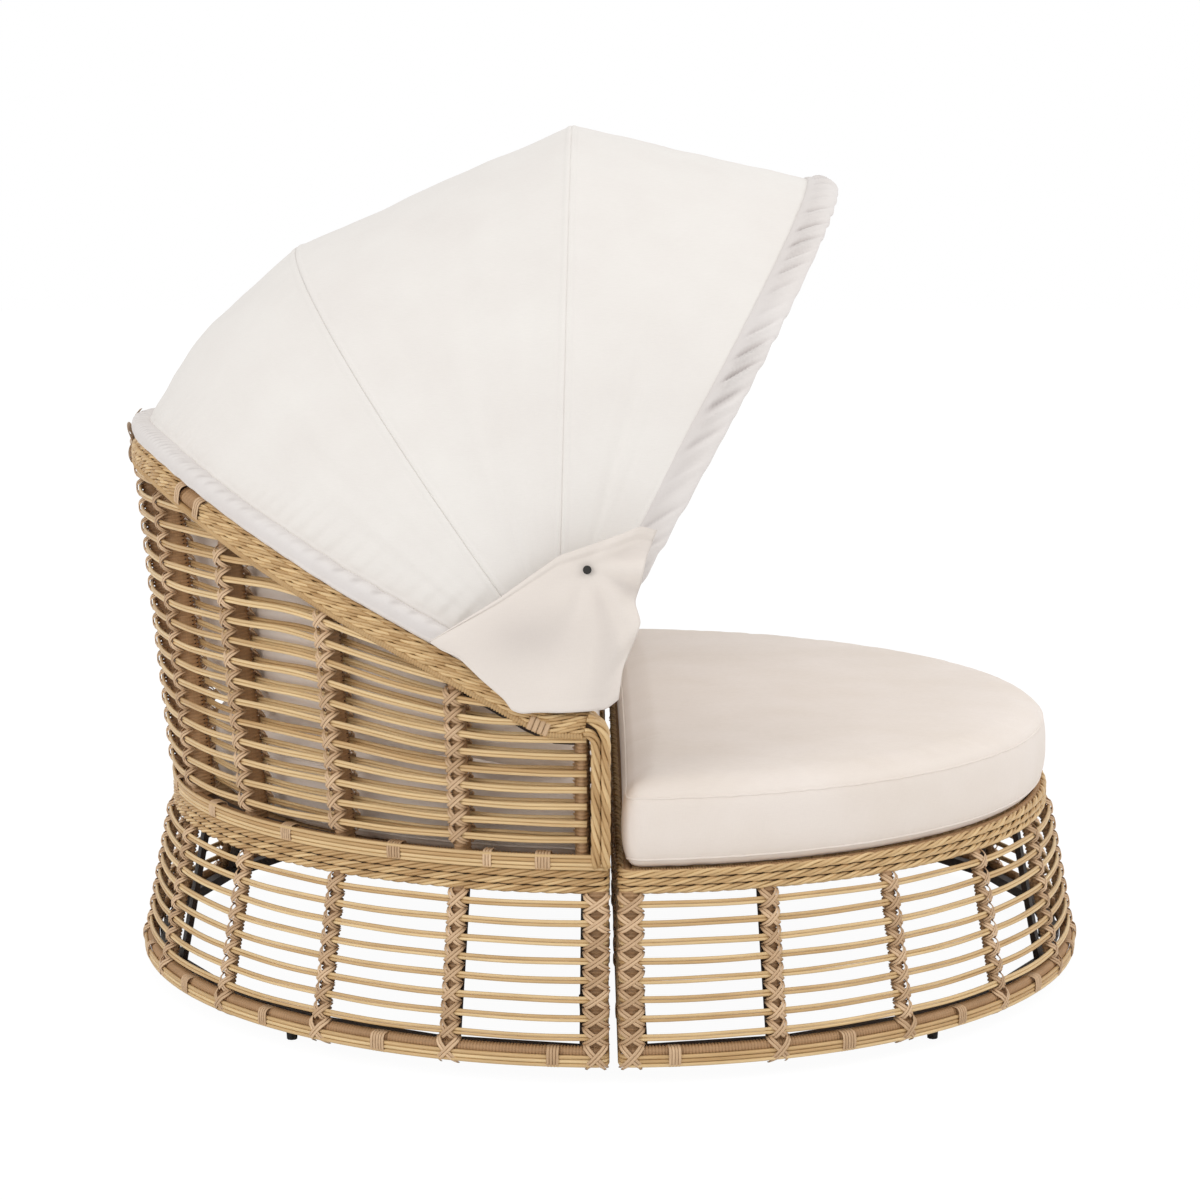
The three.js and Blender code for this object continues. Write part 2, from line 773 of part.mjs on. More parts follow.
// Stations of a pillow: share of its length, of its thickness, and of its height that is drawn in
const pillowStationShares = [
  [0, 0.3, 0.1], [0.04, 0.75, 0.03], [0.2, 1, 0], [0.5, 1, 0],
  [0.8, 1, 0], [0.96, 0.75, 0.03], [1, 0.3, 0.1],
];

// A back pillow that follows the curve of the wall and stands on the seat cushion
function backPillow(fromTurn, toTurn) {
  const rings = pillowStationShares.map(([along, thickShare, drawShare]) => {
    const turn = fromTurn + (toTurn - fromTurn) * along;
    const topZ = rimTopAt(turn) - pillowDrop;
    const height = topZ - pillowBottomZ;
    return pillowSectionShares.map(([inside, up]) => {
      const z = pillowBottomZ + height * (drawShare + up * (1 - 2 * drawShare));
      const middle = innerFaceAt(z) - pillowSlack - pillowThickness / 2;
      return polar(middle + (0.5 - inside) * pillowThickness * thickShare, turn, z);
    });
  });
  return loft(rings);
}

// Canopy

const hub = new THREE.Vector3(-hubSetback, 0, rimTopAt(0) + hubRise);
const bracketFace = middleRadiusAt(armTopZ) - bracketFlange / 2;
const bowWidth = (nest) => bracketFace - bowFaceGap - bowTube / 2 - nest * bowStep;
const bows = {
  rear: { angle: rearBowAngle, reach: rearBowReach, width: bowWidth(0) },
  middle: { angle: middleBowAngle, reach: middleBowReach, width: bowWidth(1) },
  front: { angle: frontBowAngle, reach: frontBowReach, width: bowWidth(2) },
};

// A place on the arch of a bow: swing is 0 at its top and a quarter turn at the hub line
function archPoint(bow, swing, lift = 0) {
  const reach = (bow.reach + lift) * Math.cos(swing);
  const side = (bow.width + lift) * Math.sin(swing);
  return new THREE.Vector3(
    hub.x + reach * Math.cos(bow.angle), side, hub.z + reach * Math.sin(bow.angle),
  );
}

function bowTangent(bow, swing) {
  const step = degree;
  return archPoint(bow, swing + step).sub(archPoint(bow, swing - step)).normalize();
}

// Every bow and panel has its corners at the same shares of its length
const fabricSwing = Math.PI / 2 - fabricEndTurn;
const rollTurns = stopsBetween(rollEndTurn, Math.PI - rollEndTurn);
const clothShares = rollTurns.map((turn) => (turn - rollEndTurn) / (Math.PI - 2 * rollEndTurn));
const clothSwings = clothShares.map((share) => fabricSwing * (2 * share - 1));

function bowTubeGeometry(bow) {
  const side = new THREE.Vector3(-Math.sin(bow.angle), 0, Math.cos(bow.angle));
  const endSwing = Math.PI / 2 - Math.asin(eyeLength * eyeJoinShare / bow.reach);
  return loft([-endSwing, ...clothSwings, endSwing].map((swing) => {
    const across = new THREE.Vector3().crossVectors(bowTangent(bow, swing), side);
    return ovalRing(archPoint(bow, swing), side, across, bowTube, bowTube, tubeSides);
  }));
}

// Corner radius of a faceted hole whose flats clear a round pin at any angle
function boreRadius(pinRadius) {
  return (pinRadius + boreGap) / Math.cos(Math.PI / pinSides);
}

// A plate of the outline's shape
function plate(outline, thickness) {
  return new THREE.ExtrudeGeometry(outline, {
    depth: thickness,
    bevelEnabled: false,
    curveSegments: pinSides / 2,
  });
}

// The flattened end of a bow, with the hole for its pivot
function bowEye(bow, side) {
  const outline = new THREE.Shape();
  const tangent = Math.asin((eyeRadius - eyeNeck / 2) / eyeLength);
  outline.absarc(0, 0, eyeRadius, Math.PI / 2 + tangent, 1.5 * Math.PI - tangent, false);
  outline.lineTo(eyeLength, -eyeNeck / 2);
  outline.lineTo(eyeLength, eyeNeck / 2);
  const hole = new THREE.Path();
  hole.absarc(0, 0, boreRadius(pivotRadius), 0, 2 * Math.PI, true);
  outline.holes.push(hole);
  return plate(outline, eyeThickness)
    .translate(0, 0, -eyeThickness / 2)
    .rotateX(Math.PI / 2)
    .rotateY(-bow.angle)
    .translate(hub.x, side * bow.width, hub.z);
}

function bowGeometry(bow) {
  return join([bowTubeGeometry(bow), bowEye(bow, -1), bowEye(bow, 1)]);
}

// A panel of cloth. placeAt gives its inner face: rowShare runs from bow to bow, column along them.
function fabricPanel(placeAt, rowShares) {
  const grid = (lift) => rowShares.map((rowShare) => {
    return clothShares.map((_, column) => placeAt(rowShare, column, lift));
  });
  return sheet(grid(fabricLift), grid(fabricLift + fabricThickness));
}

// The taut gore between two neighbouring bows
function gore(first, second) {
  const edgeShare = touchGap / (first.reach * (first.angle - second.angle));
  return fabricPanel((share, column, lift) => {
    const swing = clothSwings[column];
    return archPoint(first, swing, lift).lerp(archPoint(second, swing, lift), share);
  }, [edgeShare, 1 - edgeShare]);
}

const rollFlat = rollHeight / 2 * Math.cos(Math.PI / tubeSides);
const rollMiddleZ = (turn) => rimTopAt(turn) + rollSeamGap + rollFlat;
const rollTopZ = (turn) => rollMiddleZ(turn) + rollFlat;

// The rear gore hangs from the rear bow to the hem roll on the back rim, and swells outwards
function rearGore() {
  return fabricPanel((share, column, lift) => {
    const turn = rollTurns[column];
    const lowRadius = middleRadiusAt(rollTopZ(turn)) - rollSeamShare * rollWidth + lift - fabricLift;
    const low = polar(lowRadius, turn, rollTopZ(turn) + rollSeamGap);
    const high = archPoint(bows.rear, clothSwings[column], lift);
    const swell = panelBulge * Math.sin(Math.PI * share) * Math.sin(Math.PI * clothShares[column]);
    return high.lerp(low, share).addScaledVector(outwards(turn), swell);
  }, rearRowShares);
}

function ovalRing(middle, wide, tall, width, height, sides) {
  const points = [];
  for (let k = 0; k < sides; k++) {
    const around = 2 * Math.PI * k / sides;
    points.push(middle.clone()
      .addScaledVector(wide, width / 2 * Math.cos(around))
      .addScaledVector(tall, height / 2 * Math.sin(around)));
  }
  return points;
}

function rearRoll() {
  return loft(rollTurns.map((turn) => {
    const z = rollMiddleZ(turn);
    const upward = new THREE.Vector3(0, 0, 1);
    const middle = polar(middleRadiusAt(z), turn, z);
    return ovalRing(middle, outwards(turn), upward, rollWidth, rollHeight, tubeSides);
  }));
}

// The doubled edge of the canopy, which laps over the front bow
const hemSectionShares = [
  [0, 0], [0, 0.14], [0.3, 0.5], [0.75, 0.5], [1, 0], [0.75, -0.5], [0.3, -0.3],
];

function frontHem() {
  const bow = bows.front;
  const forwardAngle = (middleBowAngle + frontBowAngle) / 2 - Math.PI / 2;
  const forward = new THREE.Vector3(Math.cos(forwardAngle), 0, Math.sin(forwardAngle));
  return loft(clothSwings.map((swing) => {
    const across = new THREE.Vector3().crossVectors(forward, bowTangent(bow, swing)).normalize();
    const start = archPoint(bow, swing, fabricLift).addScaledVector(forward, touchGap);
    return hemSectionShares.map(([ahead, above]) => start.clone()
      .addScaledVector(forward, ahead * hemWidth)
      .addScaledVector(across, above * hemThickness));
  }));
}

// Hub parts, drawn for the near arm with y outward from the bracket, then mirrored

function yCylinder(radius, from, to, sides, x, z) {
  return new THREE.CylinderGeometry(radius, radius, to - from, sides)
    .translate(0, (from + to) / 2, 0)
    .translate(x, 0, z);
}

const flangeSectionShares = [[0, 0], [1, 0], [1, 1], [0, 1]];

function hubBracket() {
  const right = -bracketSetback;
  const left = right - bracketLength;
  const footZ = (x) => rimTopAt(Math.asin(-x / bracketFace)) + 2 * touchGap;
  const armTop = new THREE.Vector2(hub.x + coverBoltForward, hub.z + coverBoltRise);
  const armHalf = coverBoltHead;
  const outline = new THREE.Shape();
  outline.moveTo(left, footZ(left));
  outline.lineTo(right, footZ(right));
  outline.lineTo(right, hub.z);
  outline.lineTo(armTop.x + armHalf, armTop.y);
  outline.absarc(armTop.x, armTop.y, armHalf, 0, Math.PI, false);
  outline.lineTo(hub.x - eyeRadius, hub.z + eyeRadius);
  outline.lineTo(left, hub.z);
  const upright = plate(outline, bracketThickness)
    .rotateX(Math.PI / 2)
    .translate(0, bracketFace + bracketThickness, 0);
  const flange = loft([left, right].map((x) => flangeSectionShares.map(([out, up]) => {
    return new THREE.Vector3(x, bracketFace + out * bracketFlange, footZ(x) + up * bracketThickness);
  })));
  const holeFrom = bracketFace - bracketThickness;
  const holeTo = bracketFace + 2 * bracketThickness;
  const hole = (radius, x, z) => yCylinder(boreRadius(radius), holeFrom, holeTo, pinSides, x, z);
  const holes = [hole(pivotRadius, hub.x, hub.z), hole(coverBoltRadius, armTop.x, armTop.y)];
  return cut(join([upright, flange]), holes);
}

// Pivot bolt with its head outside, the spacers between the bow ends, and the nut inside
function pivotBolt() {
  const outer = bracketFace + bracketThickness + touchGap;
  const last = bows.front.width - eyeThickness / 2 - runningGap;
  const parts = [
    yCylinder(pivotHeadRadius, outer, outer + pivotHeadHeight, nutSides, hub.x, hub.z),
    yCylinder(pivotRadius, last - pivotHeadHeight, outer + pivotHeadHeight / 2, pinSides, hub.x, hub.z),
    yCylinder(pivotHeadRadius, last - pivotHeadHeight, last, nutSides, hub.x, hub.z),
  ];
  const stops = [bracketFace - touchGap, bows.rear.width, bows.middle.width, bows.front.width];
  for (let i = 0; i + 1 < stops.length; i++) {
    const from = stops[i + 1] + eyeThickness / 2 + runningGap;
    const to = i === 0 ? stops[0] : stops[i] - eyeThickness / 2 - runningGap;
    parts.push(yCylinder(spacerRadius, from, to, pinSides, hub.x, hub.z));
  }
  return join(parts);
}

const coverBoltX = hub.x + coverBoltForward;
const coverBoltZ = hub.z + coverBoltRise;
const coverOutlineShares = [
  [0, 0.343], [0.114, 0.32], [0.346, 0.088], [0.428, 0], [0.633, 0.036], [0.774, 0.128],
  [0.892, 0.18], [0.964, 0.6], [0.973, 0.872], [1, 1], [0.617, 0.89], [0.325, 0.65],
];
const coverFaceAtBolt = bracketFace + bracketThickness + coverGap;

// The cloth flap that hides the hub, hung on its own bolt and leaning out over the arm
function hubCover() {
  const lowZ = hub.z - coverDrop;
  const outline = new THREE.Shape(coverOutlineShares.map(([along, up]) => {
    return new THREE.Vector2(along * coverLength - coverBack, up * coverHeight + lowZ - coverBoltZ);
  }));
  const holeRadius = boreRadius(coverBoltRadius) + coverThickness * Math.tan(coverLean);
  const hole = new THREE.Path();
  hole.absarc(coverBoltX, 0, holeRadius, 0, 2 * Math.PI, true);
  outline.holes.push(hole);
  return plate(outline, coverThickness)
    .rotateX(Math.PI / 2)
    .rotateX(coverLean)
    .translate(0, coverFaceAtBolt + coverThickness, coverBoltZ);
}

function coverBolt() {
  const headFrom = coverFaceAtBolt + coverThickness + coverBoltHead * Math.sin(coverLean) + touchGap;
  const headTo = headFrom + coverBoltHeadHeight;
  const nutTo = bracketFace - touchGap;
  const nutFrom = nutTo - coverBoltHeadHeight;
  return join([
    yCylinder(coverBoltRadius, nutFrom, (headFrom + headTo) / 2, pinSides, coverBoltX, coverBoltZ),
    yCylinder(coverBoltHead, headFrom, headTo, 2 * pinSides, coverBoltX, coverBoltZ),
    yCylinder(coverNutRadius, nutFrom, nutTo, nutSides, coverBoltX, coverBoltZ),
  ]);
}

const ribbonOutlineShares = [
  [0, 0.08], [0.3, 0.3], [0.5, 0.2], [0.5, -0.1],
  [0.3, -0.14], [0.1, -0.06], [0.34, -0.95], [0.2, -1],
  [0, -0.12], [-0.14, -0.86], [-0.27, -0.8], [-0.1, -0.06],
  [-0.3, -0.14], [-0.5, -0.1], [-0.5, 0.2], [-0.3, 0.3],
];

// Ribbon bow on the outside of the back rim
function rearTie() {
  const outline = new THREE.Shape(ribbonOutlineShares.map(([across, up]) => {
    return new THREE.Vector2(across * ribbonSpan, up * ribbonDrop);
  }));
  const z = backTopZ - rimBraidHeight / 2;
  return plate(outline, ribbonThickness)
    .rotateX(Math.PI / 2)
    .rotateZ(-Math.PI / 2)
    .translate(-(wallRadiusAt(z) + wallOverhang + touchGap), 0, z);
}

// Assembly

const daybed = new THREE.Group();

function add(parent, name, geometry, material) {
  const mesh = new THREE.Mesh(geometry, material);
  mesh.name = name;
  parent.add(mesh);
  return mesh;
}

const sectorNames = ['near', 'back', 'far'];
const turnedSectorNames = ['far', 'end', 'near'];
const turnedFootNames = {
  near: 'far', far: 'near', back: 'end', split_near: 'split_far', split_far: 'split_near',
};

function addBase(group, prefix, isTurned) {
  add(group, `${prefix}_base_frame`, baseFrame(), steel);
  add(group, `${prefix}_deck`, deck(), deckWeave);
  add(group, `${prefix}_bottom_rim`, bottomRim(), cane);
  add(group, `${prefix}_top_band`, topBand(), braid);
  add(group, `${prefix}_base_weave_split`, frontWeave(), lashedCane);
  for (const sector of [0, 1, 2]) {
    const name = isTurned ? turnedSectorNames[sector] : sectorNames[sector];
    add(group, `${prefix}_base_weave_${name}`, baseWeave(sector), lashedCane);
  }
  for (const [place, point] of Object.entries(footPlaces)) {
    const name = isTurned ? turnedFootNames[place] : place;
    add(group, `${prefix}_foot_${name}`, foot(), blackPlastic).position.copy(point);
  }
}

const seat = new THREE.Group();
addBase(seat, 'seat', false);
const seatCushionRadius = innerFaceAt(baseTopZ) - seatCushionSlack;
add(seat, 'seat_cushion', halfMoonCushion(seatCushionRadius, splitFace + cushionSetback), cushionCloth);
add(seat, 'back_frame', backFrame(), steel);
add(seat, 'back_wall_rail', wallRail(), cane);
add(seat, 'back_rim_braid', backRim(), braid);
for (const sector of [0, 1, 2]) {
  add(seat, `back_outer_weave_${sectorNames[sector]}`, wallWeave(sector, outerLayer), lashedCane);
  add(seat, `back_inner_weave_${sectorNames[sector]}`, wallWeave(sector, innerLayer), lashedCane);
}
const pillowStart = Math.asin((armLegInnerX + pillowSlack) / innerFaceAt(pillowBottomZ));
const pillowTurn = (Math.PI - 2 * pillowStart - 2 * pillowGapTurn) / sectorNames.length;
for (const sector of [0, 1, 2]) {
  const from = pillowStart + sector * (pillowTurn + pillowGapTurn);
  add(seat, `back_pillow_${sectorNames[sector]}`, backPillow(from, from + pillowTurn), cushionCloth);
}
const hubParts = {
  hub_bracket: [hubBracket, steel],
  pivot_bolt: [pivotBolt, steel],
  hub_cover: [hubCover, canopyCloth],
  cover_bolt: [coverBolt, blackPlastic],
};
for (const [name, [build, material]] of Object.entries(hubParts)) {
  const far = build();
  add(seat, `${name}_near`, mirrored(far), material);
  add(seat, `${name}_far`, far, material);
}
add(seat, 'rear_hem_roll', rearRoll(), canopyCloth);
add(seat, 'rear_tie', rearTie(), ribbonCloth);
add(seat, 'canopy_rear_gore', rearGore(), canopyCloth);

const canopy = new THREE.Group();
add(canopy, 'rear_bow', bowGeometry(bows.rear), steel);
add(canopy, 'canopy_middle_gore', gore(bows.rear, bows.middle), canopyCloth);
add(canopy, 'middle_bow', bowGeometry(bows.middle), steel);
add(canopy, 'canopy_front_gore', gore(bows.middle, bows.front), canopyCloth);
add(canopy, 'front_bow', bowGeometry(bows.front), steel);
add(canopy, 'front_hem', frontHem(), canopyCloth);

const ottoman = new THREE.Group();
addBase(ottoman, 'ottoman', true);
const ottomanCushionRadius = baseTopRadius + ottomanCushionOverhang;
add(ottoman, 'ottoman_cushion', halfMoonCushion(ottomanCushionRadius, splitFace), cushionCloth);
ottoman.rotation.z = Math.PI;

// The origin is on the ground under the middle of the whole bed
const tieZ = backTopZ - rimBraidHeight / 2;
const backReach = wallRadiusAt(tieZ) + wallOverhang + touchGap + ribbonThickness;
daybed.add(seat, canopy, ottoman);
daybed.position.x = (backReach - baseBottomRadius) / 2;

export default daybed;
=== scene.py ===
"""Looks of a round two-piece garden daybed: lashed cane, braided rims, cushions and a folding canopy."""

import math

import bpy
import numpy as np
from mathutils import Matrix, Vector
from mathutils.bvhtree import BVHTree


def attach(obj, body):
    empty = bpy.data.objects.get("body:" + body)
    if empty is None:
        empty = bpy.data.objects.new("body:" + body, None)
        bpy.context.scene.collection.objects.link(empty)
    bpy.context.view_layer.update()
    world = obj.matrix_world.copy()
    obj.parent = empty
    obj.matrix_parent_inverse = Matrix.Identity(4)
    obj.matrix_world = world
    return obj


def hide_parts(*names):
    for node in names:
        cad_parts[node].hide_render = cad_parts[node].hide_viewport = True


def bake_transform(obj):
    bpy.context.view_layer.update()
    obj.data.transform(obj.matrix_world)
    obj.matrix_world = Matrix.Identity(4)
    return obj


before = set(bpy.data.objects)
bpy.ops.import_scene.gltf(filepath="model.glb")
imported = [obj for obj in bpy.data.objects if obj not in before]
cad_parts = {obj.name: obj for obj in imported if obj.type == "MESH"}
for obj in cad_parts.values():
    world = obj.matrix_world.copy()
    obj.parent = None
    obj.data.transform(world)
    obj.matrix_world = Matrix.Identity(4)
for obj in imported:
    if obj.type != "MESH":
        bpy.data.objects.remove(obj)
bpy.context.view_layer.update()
random = np.random.default_rng(7)

# The part's own sizes, in metres, with X counted from the split plane. A turn is an angle about Z
# that runs from the near side round the back to the far side.
ROW_SHIFT = 0.00188375
BASE_BOTTOM_RADIUS = 0.900
BASE_TOP_RADIUS = 0.838
SPLIT_FACE = 0.006
BASE_TOP_Z = 0.3435
FOOT_REVEAL = 0.028
RIM_HEIGHT = 0.033
BAND_HEIGHT = 0.040
BAYS = 11
CORNER_ROUNDING = 0.022
CORNER_POST_WIDTH = 0.044
POST_WIDTH = 0.032
POST_DEPTH = 0.024
BASE_ROWS = 8
FRONT_POSTS = 3
SLAT_INSET = 0.001
WALL_LEAN = 0.095
ARM_TOP_Z = 0.612
BACK_TOP_Z = 1.000
RIM_PLANE_AT_SPLIT = 0.551
RIM_PLANE_AT_BACK = 1.029
ARM_ROUNDING = 0.008
CREST_ROUNDING = 0.030
RIM_SAG = 0.009
RIM_BRAID_HEIGHT = 0.040
WALL_OVERHANG = 0.003
WALL_DEPTH = 0.062
ARM_BRAID_WIDTH = 0.030
ARM_BEND = 0.032
WALL_RAIL_HEIGHT = 0.028
FIRST_ROW_RISE = 0.024
FRONT_PITCH = 0.0284
BACK_PITCH = 0.036
STILE_WIDTH = 0.024
CUSHION_HEIGHT = 0.139
CUSHION_CROWN = 0.008
CUSHION_CORNER = 0.030
PILLOW_THICKNESS = 0.120
PILLOW_BOTTOM_Z = 0.4868
HUB_SETBACK = 0.090
HUB_RISE = 0.056
FABRIC_LIFT = 0.0092
CANE_RADIUS = 0.0034

CORNER_TURN = math.asin((SPLIT_FACE + CORNER_POST_WIDTH / 2) / BASE_TOP_RADIUS)
BAY_TURN = (math.pi - 2 * CORNER_TURN) / BAYS
RIM_TOP_Z = FOOT_REVEAL + RIM_HEIGHT
BAND_BOTTOM_Z = BASE_TOP_Z - BAND_HEIGHT
ROW_PITCH = (BAND_BOTTOM_Z - RIM_TOP_Z) / BASE_ROWS
ARM_LEG_X = SPLIT_FACE + ARM_BRAID_WIDTH / 2
BEND_X = ARM_LEG_X + ARM_BEND

UP = np.array([0, 0, 1.0])
FORWARD = np.array([1.0, 0, 0])
SIDEWAYS = np.array([0, 1.0, 0])


def smooth(value, low, high):
    share = np.clip((value - low) / (high - low), 0, 1)
    return share * share * (3 - 2 * share)


def post_turn(i):
    return CORNER_TURN + i * BAY_TURN


def from_arm(turn):
    """The turn counted from the nearer arm."""
    return np.minimum(turn, math.pi - turn)


def base_radius_at(z):
    share = (BASE_TOP_Z - z) / (BASE_TOP_Z - FOOT_REVEAL)
    return BASE_TOP_RADIUS + (BASE_BOTTOM_RADIUS - BASE_TOP_RADIUS) * share


def wall_radius_at(z):
    return BASE_TOP_RADIUS + WALL_LEAN * (z - BASE_TOP_Z)


def middle_radius_at(z):
    return wall_radius_at(z) + WALL_OVERHANG - WALL_DEPTH / 2


BEND_TURN = math.asin(BEND_X / middle_radius_at(ARM_TOP_Z))


def rim_top_at(turn):
    """Top of the rim's braid: level over the arms, a sloping plane with a slight sag, a flat crest."""
    turn = np.clip(turn, BEND_TURN, math.pi - BEND_TURN)
    plane = RIM_PLANE_AT_SPLIT + (RIM_PLANE_AT_BACK - RIM_PLANE_AT_SPLIT) * np.sin(turn)
    raised = (plane + ARM_TOP_Z + np.hypot(plane - ARM_TOP_Z, ARM_ROUNDING)) / 2
    near = np.degrees(from_arm(turn))
    sag = RIM_SAG * np.clip((near - 18) / 14, 0, 1) * np.clip((66 - near) / 20, 0, 1)
    return (raised + BACK_TOP_Z - np.hypot(raised - BACK_TOP_Z, CREST_ROUNDING)) / 2 - sag


def rim_under_at(turn):
    return rim_top_at(turn) - RIM_BRAID_HEIGHT


def wall_pitch_at(turn):
    opened = smooth(from_arm(turn), math.radians(12), math.radians(42))
    return FRONT_PITCH + (BACK_PITCH - FRONT_PITCH) * opened


HUB = np.array([-HUB_SETBACK, 0, float(rim_top_at(0.0)) + HUB_RISE])

# Small tools for paths and meshes


def unit(v):
    return v / np.maximum(np.linalg.norm(v, axis=-1, keepdims=True), 1e-9)


def polar(radius, turn, z):
    radius, turn, z = np.broadcast_arrays(radius, turn, z)
    return np.stack([-radius * np.sin(turn), -radius * np.cos(turn), z], axis=-1)


def turn_of(points):
    return np.arctan2(-points[:, 0], -points[:, 1])


def outwards(turn):
    return polar(1.0, turn, 0.0)


def along_arc(turn):
    turn = np.asarray(turn, float)
    return np.stack([-np.cos(turn), np.sin(turn), np.zeros_like(turn)], axis=-1)


def seat_place(points):
    return points + np.array([ROW_SHIFT, 0, 0])


def ottoman_place(points):
    return points * np.array([-1, -1, 1]) + np.array([ROW_SHIFT, 0, 0])


def run_along(path):
    """The way walked from the first point of a path to each point."""
    return np.concatenate([[0], np.cumsum(np.linalg.norm(np.diff(path, axis=0), axis=1))])


def resampled(points, run, at):
    return np.stack([np.interp(at, run, column) for column in points.T], 1)


def relaxed(line, times):
    for _ in range(times):
        line[1:-1] = line[1:-1] * 0.5 + (line[:-2] + line[2:]) * 0.25
    return line


def circle(count):
    angle = np.linspace(0, 2 * math.pi, count, endpoint=False)
    return np.cos(angle), np.sin(angle)


def boxy(wave, power):
    """A sine or cosine pushed outwards, which makes a rounded box of a circle."""
    return np.sign(wave) * np.abs(wave) ** power


def bell(value, middle, width):
    return np.exp(-(((value - middle) / width) ** 2))


def grid_faces(rows, columns, ring=False, closed=False):
    """The quads of a grid of points, which goes round in its columns as a ring and in its rows if closed."""
    steps = np.arange(rows if closed else rows - 1), np.arange(columns if ring else columns - 1)
    i, j = (index.ravel() for index in np.meshgrid(*steps, indexing="ij"))
    this, following = i * columns, (i + 1) % rows * columns
    k = (j + 1) % columns
    return np.stack([this + j, this + k, following + k, following + j], 1)


def set_values(mesh, name, values):
    layer = mesh.attributes.new(name, "FLOAT", "POINT")
    layer.data.foreach_set("value", np.ascontiguousarray(values, np.float32))


def shown_object(name, points, faces, material, uvs=None, tones=None):
    """A smooth mesh object of quads. Canes have coordinates along them and a tone for each point."""
    mesh = bpy.data.meshes.new(name)
    mesh.vertices.add(len(points))
    mesh.vertices.foreach_set("co", np.ascontiguousarray(points, np.float32).ravel())
    mesh.loops.add(faces.size)
    mesh.loops.foreach_set("vertex_index", np.ascontiguousarray(faces, np.int32).ravel())
    mesh.polygons.add(len(faces))
    mesh.polygons.foreach_set("loop_start", np.arange(0, faces.size, 4, dtype=np.int32))
    if uvs is not None:
        layer = mesh.uv_layers.new(name="along")
        layer.data.foreach_set("uv", np.ascontiguousarray(uvs, np.float32).ravel())
        set_values(mesh, "tone", tones)
    mesh.polygons.foreach_set("use_smooth", np.ones(len(faces), bool))
    mesh.update(calc_edges=True)
    mesh.materials.append(material)
    piece = bpy.data.objects.new(name, mesh)
    bpy.context.scene.collection.objects.link(piece)
    return piece


class Strands:
    """Canes, strips and wraps of one kind, which share a mesh. Each has its own tone."""

    def __init__(self):
        self.points, self.faces, self.uvs, self.tones, self.count = [], [], [], [], 0

    def add(self, path, wide, tall=None, up=UP, closed=False, sides=8, tone=None, square=1.0, swell=None):
        tall = wide if tall is None else tall
        up = np.broadcast_to(np.asarray(up, float), path.shape)
        scale = np.ones(len(path)) if swell is None else swell
        if closed:
            ahead = np.roll(path, -1, 0) - np.roll(path, 1, 0)
        else:
            ahead = np.gradient(path, axis=0)
            path, up, ahead = (np.concatenate([v[:1], v, v[-1:]]) for v in (path, up, ahead))
            scale = np.concatenate([[0.05], scale, [0.05]])
        n = len(path)
        ahead = unit(ahead)
        side = unit(np.cross(ahead, up))
        above = np.cross(side, ahead)
        angle = 2 * math.pi * np.arange(sides) / sides
        reach_side = wide * scale[:, None] * boxy(np.cos(angle), square)
        reach_up = tall * scale[:, None] * boxy(np.sin(angle), square)
        ring = path[:, None] + side[:, None] * reach_side[..., None] + above[:, None] * reach_up[..., None]
        spans = n if closed else n - 1
        i = np.repeat(np.arange(spans), sides)
        j = np.tile(np.arange(sides), spans)
        run = run_along(np.concatenate([path, path[:1]]))
        around = (wide + tall) * math.pi / sides
        left, right, low, high = j * around, (j + 1) * around, run[i], run[i + 1]
        uvs = np.stack([left, low, right, low, right, high, left, high], 1).reshape(-1, 4, 2)
        tone = random.random() if tone is None else tone
        self.points.append(ring.reshape(-1, 3))
        self.faces.append(grid_faces(n, sides, True, closed) + self.count)
        self.uvs.append(uvs + random.random() * 3)
        self.tones.append(np.full(n * sides, tone))
        self.count += n * sides

    def build(self, name, place, material):
        points, faces, uvs, tones = map(np.concatenate, (self.points, self.faces, self.uvs, self.tones))
        return shown_object(name, place(points), faces, material, uvs, tones)


def rides(piece, body, slot, *nodes):
    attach(piece, body)
    if nodes:
        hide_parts(*nodes)


# Materials


